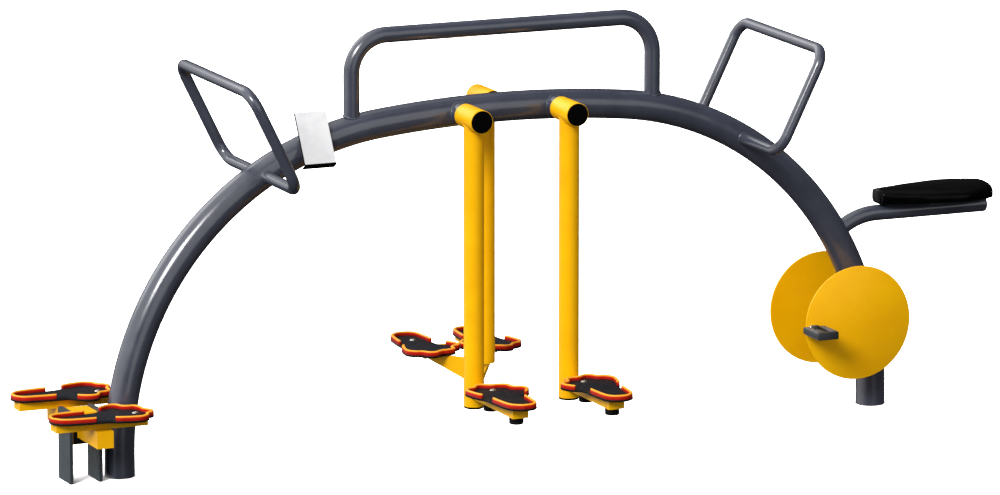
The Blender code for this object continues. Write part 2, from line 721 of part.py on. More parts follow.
def make_pad(name, frame, place, foot, bolt_share):
    """A moulded pad: footprint-shaped base with its bolt hole, and a rim round the toes and the heel."""
    outline = footprint(foot)
    reach = hole_radius(PAD_BOLT_DIAMETER / 2, SMALL_SIDES)
    turns = [2 * math.pi * step / SMALL_SIDES for step in range(SMALL_SIDES)]
    centre = bolt_share * PAD_LENGTH
    hole = [(centre + reach * math.cos(t), reach * math.sin(t)) for t in turns]
    pad = part(name, flat_mesh(name, (outline, hole), 0, PAD_BASE), DECK, frame, smooth=False)
    pad.matrix_local = place
    outer = inset_outline(outline, RIM_INSET)
    inner = inset_outline(outline, RIM_INSET + RIM_WIDTH)
    rim_mesh = flat_mesh(f"{name}_rim", (outer, inner), PAD_BASE - WELD_OVERLAP, PAD_THICKNESS)
    rim_mesh.materials.append(RED)
    rim = cutter(f"{name}_rim", rim_mesh, frame)
    rim.matrix_local = place
    gap_low = (RIM_GAP_HEEL_SHARE * PAD_LENGTH, -PAD_WIDTH, 0)
    gap_high = (RIM_GAP_TOE_SHARE * PAD_LENGTH, PAD_WIDTH, PAD_THICKNESS + OVERRUN)
    gap = cutter(f"{name}_gap", box_mesh(f"{name}_gap", gap_low, gap_high), frame)
    gap.matrix_local = place
    boolean(rim, gap)
    boolean(pad, rim, "UNION").material_mode = "TRANSFER"


def make_bolt(name, frame, place, bolt_share, sheet, nut=True):
    """A domed bolt through the pad and the channel's top sheet, with its nut below."""
    head = PAD_BOLT_HEAD / 2
    shank = PAD_BOLT_DIAMETER / 2
    seat = PAD_BASE + FIT
    top = seat + PAD_BOLT_HEAD_HEIGHT
    end = seat - bolt_length(sheet)
    profile = [
        (0, top), (head * PAD_BOLT_CREST_SHARE, top - PAD_BOLT_CREST_DROP), (head, seat + PAD_BOLT_EDGE_HEIGHT),
        (head, seat), (shank, seat), (shank, end), (0, end),
    ]
    bolt = part(name, turned_mesh(name, profile, SMALL_SIDES), ZINC, frame)
    seat_place = place @ Matrix.Translation((bolt_share * PAD_LENGTH, 0, 0))
    bolt.matrix_local = seat_place
    if nut:
        under = -sheet - 2 * FIT
        hexagon = hexagon_mesh(f"{name}_nut", PAD_NUT_ACROSS_FLATS, under - PAD_NUT_HEIGHT, under)
        nut_tool = cutter(f"{name}_nut", hexagon, frame)
        nut_tool.matrix_local = seat_place
        boolean(bolt, nut_tool, "UNION")


def bolt_length(sheet):
    """From under the bolt's head to just past its nut."""
    return PAD_BASE + sheet + PAD_NUT_HEIGHT + PAD_BOLT_TAIL + 4 * FIT


def bolt_hole(name, frame, place, bolt_share, depth=CHANNEL_HEIGHT / 2):
    """A clearance hole for a pad bolt, as a cutter that reaches this far below the pad."""
    radius = hole_radius(PAD_BOLT_DIAMETER / 2, SMALL_SIDES)
    hole = cutter(name, rod_mesh(name, radius, -depth, PAD_BASE / 2, SMALL_SIDES), frame)
    hole.matrix_local = place @ Matrix.Translation((bolt_share * PAD_LENGTH, 0, 0))
    return hole


def make_front_station(side_name, side, cope):
    """One front swing: stub, axle, bearings, arm with its channel, caps, pad, bolt and rubber bumpers."""
    x = side * FRONT_PIVOT_X
    pivot_z = arch_height(x)
    name = f"front_{side_name}"
    fixed = empty(f"{name}_pivot", STATION, (x, 0, pivot_z))
    swing = empty(f"{name}_swing_axis", STATION, (x, 0, pivot_z))
    make_stub(f"{name}_pivot_stub", fixed, cope)
    make_pivot_axle(f"{name}_pivot_axle", fixed)
    make_bearings(f"{name}_pivot_bearings", fixed, AXLE_DIAMETER, *bearing_starts())
    arm = make_arm(f"{name}_arm", swing, ARM_BOTTOM_Z + ARM_CAP_THICKNESS - pivot_z)
    make_sleeve_cap(name, swing)
    make_tube_cap(name, swing, pivot_z)

    pad_z = FRONT_PAD_Z - pivot_z
    toes = Matrix.Rotation(QUARTER, 4, "Z")
    pad_place = Matrix.Translation((side * FRONT_PAD_X - x, FRONT_PAD_Y, pad_z)) @ toes
    top = pad_z - FIT
    low = (-CHANNEL_WIDTH / 2, FRONT_CHANNEL_END_Y, top - CHANNEL_HEIGHT)
    high = (CHANNEL_WIDTH / 2, -ARM_REACH, top)
    shell = cutter(f"{name}_channel", box_mesh(f"{name}_channel", low, high), swing)
    channel(shell, low, (high[0], high[1] + OVERRUN, high[2]), CHANNEL_SHEET, swing, f"{name}_hollow")
    core = rod_mesh(f"{name}_core", ARM_DIAMETER / 2 - ARM_WALL / 2, low[2] - OVERRUN, high[2] + OVERRUN)
    boolean(shell, cutter(f"{name}_core", core, swing, (0, -ARM_REACH, 0)))
    boolean(arm, shell, "UNION")
    boolean(arm, bolt_hole(f"{name}_bolt_hole", swing, pad_place, BOLT_TOE_SHARE))

    make_pad(f"{name}_pad", swing, pad_place, side, BOLT_TOE_SHARE)
    make_bolt(f"{name}_pad_bolt", swing, pad_place, BOLT_TOE_SHARE, CHANNEL_SHEET, nut=False)
    make_front_bumpers(name, swing, pivot_z, pad_place)


def bumper_mesh(name, bottom, top):
    """A round rubber bumper with its lower edge chamfered."""
    radius = BUMPER_DIAMETER / 2
    profile = [(0, top), (radius, top), (radius, bottom + BUMPER_CHAMFER), (radius - BUMPER_CHAMFER, bottom)]
    return turned_mesh(name, [*profile, (0, bottom)], ROUND_SIDES)


def make_front_bumpers(name, swing, pivot_z, pad_place):
    """Two rubber bumpers seated in the channel; the pad's bolt screws into the one by the toes."""
    top = FRONT_PAD_Z - CHANNEL_SHEET - 2 * FIT - pivot_z
    mesh = bumper_mesh("front_bumper", BUMPER_BOTTOM_Z - pivot_z, top)
    toe = FRONT_PAD_Y + BOLT_TOE_SHARE * PAD_LENGTH
    heel = FRONT_CHANNEL_END_Y + CHANNEL_SHEET + FRONT_BUMPER_END_GAP + BUMPER_DIAMETER / 2
    for end, y in (("toe", toe), ("heel", heel)):
        bumper = part(f"{name}_{end}_bumper", mesh.copy(), BLACK, swing, (0, y, 0))
        if end == "toe":
            depth = bolt_length(CHANNEL_SHEET) - PAD_BASE
            boolean(bumper, bolt_hole(f"{name}_bumper_hole", swing, pad_place, BOLT_TOE_SHARE, depth))


def make_rear_station(cope):
    """The rear swing: one arm with a platform for two pads side by side."""
    pivot_z = arch_height(0)
    fixed = empty("rear_pivot", STATION, (0, 0, pivot_z), (0, 0, math.pi))
    swing = empty("rear_swing_axis", STATION, (0, 0, pivot_z), (0, 0, math.pi))
    make_stub("rear_pivot_stub", fixed, cope)
    make_pivot_axle("rear_pivot_axle", fixed)
    make_bearings("rear_pivot_bearings", fixed, AXLE_DIAMETER, *bearing_starts())
    make_sleeve_cap("rear", swing)

    pad_z = REAR_PAD_Z - pivot_z
    make_arm("rear_arm", swing, pad_z - WELD_OVERLAP + ARM_PLATE_THICKNESS)
    places = {
        side: Matrix.Translation((side * REAR_PAD_X, -REAR_PAD_Y, pad_z)) @ Matrix.Rotation(QUARTER, 4, "Z")
        for side in (-1, 1)
    }
    make_rear_platform(swing, pad_z - FIT, places)
    # In this frame the user stands with the toes towards +Y, so the left pad is on the -X side.
    for side_name, side in (("left", -1), ("right", 1)):
        make_pad(f"rear_{side_name}_pad", swing, places[side], side, BOLT_HEEL_SHARE)
        make_bolt(f"rear_{side_name}_pad_bolt", swing, places[side], BOLT_HEEL_SHARE, CHANNEL_SHEET)


def make_rear_platform(swing, top, places):
    """Two channels joined by a cross plate, on a forked bracket of three plates under the arm's end plate."""
    half = CHANNEL_WIDTH / 2
    low_z = top - REAR_CHANNEL_HEIGHT
    shells = []
    hollows = []
    for side in (-1, 1):
        low = (side * REAR_PAD_X - half, -REAR_CHANNEL_END_Y, low_z)
        high = (side * REAR_PAD_X + half, -REAR_CHANNEL_START_Y, top)
        shells.append(box_mesh("rear_channel", low, high))
        inside_low = (low[0] + CHANNEL_SHEET, low[1] + CHANNEL_SHEET, low[2] - OVERRUN)
        inside_high = (high[0] - CHANNEL_SHEET, high[1] - CHANNEL_SHEET, high[2] - CHANNEL_SHEET)
        hollows.append(box_mesh("rear_hollow", inside_low, inside_high))
    platform = part("rear_platform", shells[0], YELLOW, swing, smooth=False)
    boolean(platform, cutter("rear_second_channel", shells[1], swing), "UNION")
    cross_low = (-REAR_PAD_X, -REAR_CROSS_PLATE_END_Y, top - CHANNEL_SHEET)
    cross_high = (REAR_PAD_X, -REAR_CROSS_PLATE_START_Y, top)
    boolean(platform, cutter("rear_cross", box_mesh("rear_cross", cross_low, cross_high), swing), "UNION")
    for side in (-1, 1):
        boolean(platform, make_gusset(swing, side, top), "UNION")
    boolean(platform, make_web(swing, top), "UNION")
    plate_low = top - WELD_OVERLAP
    plate = rod_mesh("rear_arm_plate", ARM_DIAMETER / 2, plate_low, plate_low + ARM_PLATE_THICKNESS)
    boolean(platform, cutter("rear_arm_plate", plate, swing, (0, -ARM_REACH, 0)), "UNION")
    boolean(platform, cutter("rear_hollows", joined("rear_hollows", hollows), swing))
    for side in (-1, 1):
        boolean(platform, bolt_hole(f"rear_bolt_hole_{side}", swing, places[side], BOLT_HEEL_SHARE))


def make_gusset(swing, side, top):
    """An upright plate from under the arm to the near end of one channel, tapering towards that end.

    The second plate's top lies a little lower, so that no two faces of the joined plates share a plane.
    """
    top -= (side + 1) * MERGE_DISTANCE
    reach_y = REAR_CHANNEL_START_Y + CHANNEL_SHEET - GUSSET_MEET_Y
    length = math.hypot(GUSSET_END_X, reach_y)
    near = -GUSSET_SHEET / 2
    outline = ((near, 0), (length, 0), (length, -GUSSET_END_DEPTH), (near, -GUSSET_MEET_DEPTH))
    mesh = flat_mesh("rear_gusset", (outline,), -GUSSET_SHEET / 2, GUSSET_SHEET / 2)
    heading = math.atan2(-reach_y, side * GUSSET_END_X)
    place = Matrix.Translation((0, -GUSSET_MEET_Y, top)) @ Matrix.Rotation(heading, 4, "Z") @ Matrix.Rotation(
        QUARTER, 4, "X")
    mesh.transform(place)
    return cutter(f"rear_gusset_{side}", mesh, swing)


def make_web(swing, top):
    """The bracket's middle plate, rising from where the gussets meet to the front of the arm's plate."""
    length = GUSSET_MEET_Y - WEB_FRONT_Y + GUSSET_SHEET / 2
    low = GUSSET_SHEET - GUSSET_MEET_DEPTH
    high = -WELD_OVERLAP / 2
    outline = ((0, high), (length, high), (length, -WEB_FRONT_DEPTH), (0, low))
    mesh = flat_mesh("rear_web", (outline,), -GUSSET_SHEET / 2, GUSSET_SHEET / 2)
    start = Matrix.Translation((0, -GUSSET_MEET_Y - GUSSET_SHEET / 2, top))
    mesh.transform(start @ Matrix.Rotation(QUARTER, 4, "Z") @ Matrix.Rotation(QUARTER, 4, "X"))
    return cutter("rear_web", mesh, swing)


def rounded_plate(half_width, height, corner):
    """An upright plate's outline with two rounded top corners, as (across, up) points."""
    points = [(-half_width, 0), (half_width, 0)]
    for index, across in enumerate((half_width - corner, -half_width + corner)):
        for step in range(BEND_STEPS):
            angle = QUARTER * (index + step / (BEND_STEPS - 1))
            points.append((across + corner * math.cos(angle), height - corner + corner * math.sin(angle)))
    return points


def make_rocker_frame():
    """The two uprights and the through axle."""
    outline = rounded_plate(UPRIGHT_WIDTH / 2, UPRIGHT_HEIGHT, UPRIGHT_CORNER)
    reach = hole_radius(ROCKER_AXLE_END_DIAMETER / 2, ROUND_SIDES)
    turns = [2 * math.pi * step / ROUND_SIDES for step in range(ROUND_SIDES)]
    hole = [(reach * math.cos(t), ROCKER_AXLE_Z + reach * math.sin(t)) for t in turns]
    half = UPRIGHT_THICKNESS / 2
    turned_upright = Matrix.Rotation(QUARTER, 4, "Z") @ Matrix.Rotation(QUARTER, 4, "X")
    for name, side in (("rocker_left_upright", -1), ("rocker_right_upright", 1)):
        mesh = flat_mesh(name, (outline, hole), -half, half)
        mesh.transform(turned_upright)
        part(name, mesh, GREY, location=(ROCKER_X + side * UPRIGHT_SPACING / 2, 0, 0), smooth=False)
    make_rocker_axle()


def make_rocker_axle():
    """A shouldered bar between the uprights, with a hexagon head at one end and its nut at the other."""
    shoulder = UPRIGHT_SPACING / 2 - UPRIGHT_THICKNESS / 2 - FIT
    nut_start = UPRIGHT_SPACING / 2 + UPRIGHT_THICKNESS / 2 + FIT
    end = nut_start + ROCKER_NUT_HEIGHT + ROCKER_AXLE_TAIL
    journal = ROCKER_AXLE_DIAMETER / 2
    thread = ROCKER_AXLE_END_DIAMETER / 2
    profile = [(0, end), (thread, end), (thread, shoulder), (journal, shoulder)]
    profile += [(radius, -height) for radius, height in reversed(profile)]
    place = (ROCKER_X, 0, ROCKER_AXLE_Z)
    mesh = turned_mesh("rocker_axle", profile, ROUND_SIDES)
    axle = part("rocker_axle", mesh, STEEL, STATION, place, AIM_RIGHT)
    for side in (-1, 1):
        inner = side * nut_start
        outer = side * (nut_start + ROCKER_NUT_HEIGHT)
        hexagon = hexagon_mesh(
            f"rocker_nut_{side}", ROCKER_NUT_ACROSS_FLATS, min(inner, outer), max(inner, outer)
        )
        boolean(axle, cutter(f"rocker_nut_{side}", hexagon, STATION, place, AIM_RIGHT), "UNION")


def make_rocker():
    """The tilting frame with its rubber bush and two pads."""
    tilt = empty("rocker_tilt_axis", STATION, (ROCKER_X, 0, ROCKER_AXLE_Z))
    pad_z = ROCKER_PAD_Z - ROCKER_AXLE_Z
    places = {side: Matrix.Translation((ROCKER_PAD_SHIFT, side * ROCKER_PAD_Y, pad_z)) for side in (-1, 1)}
    make_rocker_beam(tilt, pad_z - FIT, places)
    inner = hole_radius(ROCKER_AXLE_DIAMETER / 2, ROUND_SIDES)
    profile = ring(inner, HUB_BORE / 2, -HUB_LENGTH / 2, HUB_LENGTH / 2)
    bush_mesh = profile_mesh("rocker_rubber_bush", profile, closed=True)
    turn(part("rocker_rubber_bush", bush_mesh, BLACK, tilt, (0, 0, 0), AIM_RIGHT))
    # The user faces +X, so the left foot stands on the +Y side.
    for side_name, side in (("left", 1), ("right", -1)):
        make_pad(f"rocker_{side_name}_pad", tilt, places[side], -side, BOLT_TOE_SHARE)
        make_bolt(f"rocker_{side_name}_pad_bolt", tilt, places[side], BOLT_TOE_SHARE, CHANNEL_SHEET)


def make_rocker_beam(tilt, top, places):
    """The welded frame: a folded beam, the bored hub in its middle and a channel under each pad."""
    half = BEAM_WIDTH / 2
    beam_top = BEAM_TOP_Z - ROCKER_AXLE_Z
    low = (-half, -BEAM_HALF_LENGTH, BEAM_BOTTOM_Z - ROCKER_AXLE_Z)
    high = (half, BEAM_HALF_LENGTH, beam_top)
    beam = part("rocker_beam", box_mesh("rocker_beam", low, high), YELLOW, tilt, smooth=False)
    channel(beam, low, high, BEAM_SHEET, tilt, "beam_hollow")
    for side in (-1, 1):
        middle = side * ROCKER_PAD_Y
        heel = ROCKER_PAD_SHIFT + ROCKER_CHANNEL_HEEL_SHARE * PAD_LENGTH
        toe = ROCKER_PAD_SHIFT + ROCKER_CHANNEL_TOE_SHARE * PAD_LENGTH
        low = (heel, middle - CHANNEL_WIDTH / 2, beam_top - WELD_OVERLAP)
        high = (toe, middle + CHANNEL_WIDTH / 2, top)
        name = f"rocker_channel_{side}"
        shell = cutter(name, box_mesh(name, low, high), tilt)
        channel(shell, low, high, CHANNEL_SHEET, tilt, f"{name}_hollow")
        boolean(beam, shell, "UNION")
        boolean(beam, bolt_hole(f"{name}_bolt_hole", tilt, places[side], BOLT_TOE_SHARE))
    hub_low = (-HUB_LENGTH / 2, -HUB_WIDTH / 2, HUB_BOTTOM_Z - ROCKER_AXLE_Z)
    hub_high = (HUB_LENGTH / 2, HUB_WIDTH / 2, HUB_TOP_Z - ROCKER_AXLE_Z)
    boolean(beam, cutter("beam_hub", box_mesh("beam_hub", hub_low, hub_high), tilt), "UNION")
    bore = rod_mesh("hub_bore", hole_radius(HUB_BORE / 2, ROUND_SIDES), -HUB_LENGTH, HUB_LENGTH)
    boolean(beam, cutter("hub_bore", bore, tilt, (0, 0, 0), AIM_RIGHT))


def seat_post_points(extra=0.0):
    """The saddle post's centre line: out of the arch at a pitch, one bend, then level to the rear."""
    centre = (SEAT_POST_LEVEL_X, SEAT_POST_Z - SEAT_POST_BEND)
    bend = arc(centre, SEAT_POST_BEND, -SEAT_POST_PITCH, 0, BEND_STEPS)
    run = ARCH_DIAMETER / 2 + extra
    back = Vector((math.cos(SEAT_POST_PITCH), 0, math.sin(SEAT_POST_PITCH))) * run
    return [bend[0] - back, *bend, Vector((SEAT_POST_END_X, 0, SEAT_POST_Z))]


def make_seat_post(cope):
    """A bent tube, coped on the right shoulder and closed by a rounded end."""
    radius = SEAT_POST_DIAMETER / 2
    points = seat_post_points()
    post_mesh = tube_mesh("seat_post", points, radius, RAIL_RESOLUTION)
    post = part("seat_post", post_mesh, GREY)
    bore_points = seat_post_points(OVERRUN)
    bore_points[-1] = bore_points[-1] - Vector((SEAT_POST_WALL * 2, 0, 0))
    bore = tube_mesh("seat_post_bore", bore_points, radius - SEAT_POST_WALL, BORE_RESOLUTION)
    boolean(post, cutter("seat_post_bore", bore))
    boolean(post, cope)


def seat_section(x_share, half_width):
    """One cross section of the saddle: flat underside, rounded edge and a slightly crowned top."""
    x = SEAT_NOSE_X + x_share * SEAT_LENGTH
    edge = (SEAT_EDGE_Z - SEAT_BOTTOM_Z) / 2
    middle = SEAT_BOTTOM_Z + edge
    inner = half_width - edge
    points = [Vector((x, -inner, SEAT_BOTTOM_Z)), Vector((x, inner, SEAT_BOTTOM_Z))]
    for step in range(1, SECTION_STEPS):
        angle = math.pi * step / SECTION_STEPS
        points.append(Vector((x, inner + edge * math.sin(angle), middle - edge * math.cos(angle))))
    for step in range(SECTION_STEPS + 1):
        share = 1 - 2 * step / SECTION_STEPS
        y = inner * share
        points.append(Vector((x, y, SEAT_EDGE_Z + SEAT_CROWN * (1 - share**2))))
    for step in range(1, SECTION_STEPS):
        angle = math.pi * (1 - step / SECTION_STEPS)
        points.append(Vector((x, -inner - edge * math.sin(angle), middle - edge * math.cos(angle))))
    return points


def loft_mesh(name, sections):
    """A closed body through sections of equal point counts, capped at both ends."""
    body = bmesh.new()
    rows = [[body.verts.new(point) for point in section] for section in sections]
    count = len(rows[0])
    for first, second in zip(rows, rows[1:]):
        for index in range(count):
            after = (index + 1) % count
            body.faces.new((first[index], first[after], second[after], second[index]))
    body.faces.new(rows[0][::-1])
    body.faces.new(rows[-1])
    bmesh.ops.recalc_face_normals(body, faces=body.faces)
    mesh = bpy.data.meshes.new(name)
    body.to_mesh(mesh)
    body.free()
    return mesh


def make_seat():
    """The moulded saddle, and its steel plate with a cradle on the post."""
    sections = [seat_section(share, width * SEAT_WIDTH) for share, width in SADDLE_SHARES]
    part("seat_shell", loft_mesh("seat_shell", sections), BLACK)

    top = SEAT_BOTTOM_Z - FIT
    low = top - SEAT_PLATE_THICKNESS
    half_length = SEAT_PLATE_LENGTH / 2
    half_width = SEAT_PLATE_WIDTH / 2
    plate_low = (SEAT_PLATE_X - half_length, -half_width, low)
    plate_high = (SEAT_PLATE_X + half_length, half_width, top)
    plate = part("seat_plate", box_mesh("seat_plate", plate_low, plate_high), GREY, smooth=False)
    cradle_low = (SEAT_PLATE_X - SEAT_CRADLE_LENGTH / 2, -SEAT_CRADLE_WIDTH / 2, SEAT_POST_Z)
    cradle_high = (SEAT_PLATE_X + SEAT_CRADLE_LENGTH / 2, SEAT_CRADLE_WIDTH / 2, top - FIT)
    cradle = cutter("seat_cradle", box_mesh("seat_cradle", cradle_low, cradle_high))
    boolean(plate, cradle, "UNION")
    around = SEAT_POST_DIAMETER / 2 + FIT
    cope = tube_mesh("post_cope", seat_post_points(OVERRUN), around, RAIL_RESOLUTION)
    boolean(plate, cutter("post_cope", cope))


def make_crank_housing(cope):
    """The bearing housing, coped on the inner side of the right leg, and its two bearings."""
    outer = CRANK_HOUSING_DIAMETER / 2
    seat = hole_radius(BEARING_DIAMETER / 2, ROUND_SIDES)
    middle = SLEEVE_MIDDLE_BORE / 2
    half = CRANK_HOUSING_LENGTH / 2
    depth = SLEEVE_LIP + BEARING_WIDTH + FIT
    profile = [
        (outer, half), (outer, -half), (seat, -half), (seat, -half + depth), (middle, -half + depth),
        (middle, half - depth), (seat, half - depth), (seat, half),
    ]
    housing = part("crank_housing", profile_mesh("crank_housing", profile, closed=True), GREY)
    housing.location = (CRANK_X, 0, CRANK_Z)
    housing.rotation_euler = AIM_FRONT
    turn(housing)
    boolean(housing, cope)
    start = half - SLEEVE_LIP - BEARING_WIDTH
    fixed = empty("crank_bearing_frame", STATION, (CRANK_X, 0, CRANK_Z))
    make_bearings("crank_bearings", fixed, CRANK_AXLE_DIAMETER, -start - BEARING_WIDTH, start)


def make_crank():
    """The crank's axle with a flange at each end, two discs, two spindles and two pedals."""
    crank = empty("crank_axis", STATION, (CRANK_X, 0, CRANK_Z), (0, -CRANK_TURN, 0))
    shaft = CRANK_AXLE_DIAMETER / 2
    flange = CRANK_FLANGE_DIAMETER / 2
    face = DISC_Y - DISC_THICKNESS / 2 - FIT
    back = face - CRANK_FLANGE_THICKNESS
    profile = [(0, face), (flange, face), (flange, back), (shaft, back)]
    profile += [(radius, -height) for radius, height in reversed(profile)]
    axle = part("crank_axle", profile_mesh("crank_axle", profile), STEEL, crank)
    axle.rotation_euler = AIM_FRONT
    turn(axle)
    spindle_hole = hole_radius(SPINDLE_DIAMETER / 2, SMALL_SIDES)
    for name, side in (("front_disc", -1), ("rear_disc", 1)):
        disc = rod_mesh(name, DISC_DIAMETER / 2, -DISC_THICKNESS / 2, DISC_THICKNESS / 2, DISC_SIDES)
        disc.transform(Matrix.Rotation(QUARTER, 4, "X"))
        ob = part(name, disc, YELLOW, crank, (0, side * DISC_Y, 0))
        hole = rod_mesh(f"{name}_hole", spindle_hole, -DISC_THICKNESS, DISC_THICKNESS, SMALL_SIDES)
        place = (side * SPINDLE_RADIUS_ON_DISC, side * DISC_Y, 0)
        boolean(ob, cutter(f"{name}_hole", hole, crank, place, AIM_FRONT))
    for name, side in (("front_pedal", -1), ("rear_pedal", 1)):
        make_spindle(f"{name}_spindle", crank, side)
        make_pedal(name, side)


def pedal_start():
    """Distance from the disc's middle plane to the pedal's inner face."""
    return DISC_THICKNESS / 2 + FIT + SPINDLE_COLLAR_LENGTH + PEDAL_CLEARANCE


def make_spindle(name, crank, side):
    """A turned spindle through the disc, with its collar outside and its nut behind the disc."""
    pin = SPINDLE_DIAMETER / 2
    collar = SPINDLE_COLLAR_DIAMETER / 2
    face = DISC_THICKNESS / 2 + FIT
    collar_end = face + SPINDLE_COLLAR_LENGTH
    end = pedal_start() + PEDAL_WIDTH - PEDAL_END_WALL - 2 * PEDAL_CLEARANCE
    tail = -face - SPINDLE_NUT_HEIGHT - SPINDLE_TAIL
    profile = [(0, end), (pin, end), (pin, collar_end), (collar, collar_end), (collar, face), (pin, face)]
    profile += [(pin, tail), (0, tail)]
    place = Matrix.Translation((side * SPINDLE_RADIUS_ON_DISC, side * DISC_Y, 0))
    place = place @ Matrix.Rotation(-side * QUARTER, 4, "X")
    spindle = part(name, turned_mesh(name, profile, SMALL_SIDES), ZINC, crank)
    spindle.matrix_local = place
    hexagon = hexagon_mesh(f"{name}_nut", SPINDLE_NUT_ACROSS_FLATS, -face - SPINDLE_NUT_HEIGHT, -face)
    nut = cutter(f"{name}_nut", hexagon, crank)
    nut.matrix_local = place
    boolean(spindle, nut, "UNION")


def make_pedal(name, side):
    """A block pedal with a blind bore and grooved treads on both faces."""
    x = CRANK_X + side * SPINDLE_RADIUS_ON_DISC * math.cos(CRANK_TURN)
    z = CRANK_Z + side * SPINDLE_RADIUS_ON_DISC * math.sin(CRANK_TURN)
    frame = empty(f"{name}_axis", STATION, (x, side * DISC_Y, z))
    start = pedal_start()
    low = (-PEDAL_LENGTH / 2, start, -PEDAL_HEIGHT / 2)
    high = (PEDAL_LENGTH / 2, start + PEDAL_WIDTH, PEDAL_HEIGHT / 2)
    mesh = box_mesh(name, low, high)
    turn_out = Matrix.Rotation(0 if side > 0 else math.pi, 4, "Z")
    mesh.transform(turn_out)
    pedal = part(name, mesh, BLACK, frame, smooth=False)
    bevel = pedal.modifiers.new("rounded", "BEVEL")
    bevel.width = PEDAL_GROOVE_DEPTH
    bevel.segments = 1
    radius = hole_radius(SPINDLE_DIAMETER / 2 + PEDAL_BORE_CLEARANCE, SMALL_SIDES)
    bore_end = start + PEDAL_WIDTH - PEDAL_END_WALL
    bore = rod_mesh(f"{name}_bore", radius, start - OVERRUN, bore_end, SMALL_SIDES)
    bore.transform(turn_out @ Matrix.Rotation(-QUARTER, 4, "X"))
    boolean(pedal, cutter(f"{name}_bore", bore, frame))
    grooves = []
    for index in range(PEDAL_GROOVES):
        x = PEDAL_LENGTH * (index + 1) / (PEDAL_GROOVES + 1) - PEDAL_LENGTH / 2
        for face in (-1, 1):
            middle = face * PEDAL_HEIGHT / 2
            groove_low = (x - PEDAL_GROOVE_WIDTH / 2, start - OVERRUN, middle - PEDAL_GROOVE_DEPTH)
            end = start + PEDAL_WIDTH + OVERRUN
            groove_high = (x + PEDAL_GROOVE_WIDTH / 2, end, middle + PEDAL_GROOVE_DEPTH)
            grooves.append(moved(box_mesh("groove", groove_low, groove_high), turn_out))
    boolean(pedal, cutter(f"{name}_grooves", joined(f"{name}_grooves", grooves), frame))


def make_sign(cope):
    """The bare plate: a shallow folded tray held off the arch by a short round bracket."""
    centre = Vector((SIGN_X, 0, arch_height(SIGN_X)))
    normal = Vector((0, -math.cos(SIGN_TILT), math.sin(SIGN_TILT)))
    frame = empty("sign_frame", STATION, centre + normal * SIGN_STANDOFF, (QUARTER - SIGN_TILT, 0, 0))
    half_x = SIGN_WIDTH / 2
    half_y = SIGN_HEIGHT / 2
    low = (-half_x, -half_y, -SIGN_DEPTH)
    high = (half_x, half_y, 0)
    plate = part("sign_plate", box_mesh("sign_plate", low, high), WHITE, frame, smooth=False)
    channel(plate, low, high, SIGN_SHEET, frame, "sign_hollow")
    radius = SIGN_BRACKET_DIAMETER / 2
    top = -SIGN_SHEET - FIT
    bracket = rod_mesh("sign_bracket", radius, -SIGN_STANDOFF, top)
    ob = part("sign_bracket", bracket, GREY, frame)
    boolean(ob, cope)


def main():
    cope = make_arch()
    make_handrail(cope)
    make_handle_loop("left_handle_loop", -1, cope)
    make_handle_loop("right_handle_loop", 1, cope)
    make_front_station("left", -1, cope)
    make_front_station("right", 1, cope)
    make_rear_station(cope)
    make_rocker_frame()
    make_rocker()
    make_seat_post(cope)
    make_seat()
    make_crank_housing(cope)
    make_crank()
    make_sign(cope)


main()
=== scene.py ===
import math

import bmesh
import bpy
import numpy as np
from mathutils import Matrix, Vector


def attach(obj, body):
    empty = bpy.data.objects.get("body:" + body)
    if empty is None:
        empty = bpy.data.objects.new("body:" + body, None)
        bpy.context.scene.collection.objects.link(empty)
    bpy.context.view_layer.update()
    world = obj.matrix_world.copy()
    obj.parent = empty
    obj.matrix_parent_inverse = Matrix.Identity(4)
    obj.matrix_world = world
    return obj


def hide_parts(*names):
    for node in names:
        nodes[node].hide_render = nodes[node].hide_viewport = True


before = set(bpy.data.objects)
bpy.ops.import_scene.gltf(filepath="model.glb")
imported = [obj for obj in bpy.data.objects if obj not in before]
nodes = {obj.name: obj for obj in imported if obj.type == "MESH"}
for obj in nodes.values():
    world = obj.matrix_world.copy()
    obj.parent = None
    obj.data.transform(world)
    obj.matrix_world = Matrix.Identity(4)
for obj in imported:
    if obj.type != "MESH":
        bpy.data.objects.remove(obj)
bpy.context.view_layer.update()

# Sizes repeated from the part, in metres, measured from the middle of the arch
PLAN_CENTRE = np.array((0.05625, 0.0105, 0.0))
ARCH_RADIUS = 0.04445
ARCH_HALF_SPAN = 1.226
SHOULDER_RADIUS = 0.93
CROWN_RADIUS = 3.6
FOOT_HEIGHT = 0.067
SHOULDER_X = ARCH_HALF_SPAN - SHOULDER_RADIUS
JOIN_ANGLE = math.asin(SHOULDER_X / (CROWN_RADIUS - SHOULDER_RADIUS))
CROWN_CENTRE_Z = FOOT_HEIGHT - (CROWN_RADIUS - SHOULDER_RADIUS) * math.cos(JOIN_ANGLE)
RAIL_RADIUS = 0.02415
RAIL_POST_X = 0.4867
RAIL_TOP_Z = 1.2557
RAIL_BEND = 0.11
LOOP_RADIUS = 0.01685
LOOP_X = 0.772
LOOP_LENGTH = 0.584
LOOP_HEIGHT = 0.332
LOOP_CORNER = 0.055
LOOP_LEAN = math.radians(26.2)

# Instruction plate: the face, the frame round it, the black strip below it and the stub behind it.
# The strip is painted shadow under the plate; the thin dark frame is in part painted shade on its
# edges.
SIGN_X = -0.626
SIGN_TILT = math.radians(30.2)
SIGN_STANDOFF = 0.0716
SIGN_WIDTH = 0.100
SIGN_HEIGHT = 0.164
SIGN_DEPTH = 0.006
SIGN_RISE = 0.0035
SIGN_FRAME = 0.0013
SHADOW_STRIP_WIDTH = 0.101
SHADOW_STRIP_HEIGHT = 0.004
SHADOW_STRIP_DEPTH = 0.028
SHADOW_STRIP_SHIFT = (0.0008, -0.0806)
SIGN_STUB_RADIUS = 0.021

# Radius of the weld beads: round the posts, the loops and the plate's stub, the arms, the stubs
WELD = 0.0032
THIN_WELD = 0.0028
ARM_WELD = 0.0030
STUB_WELD = 0.0034

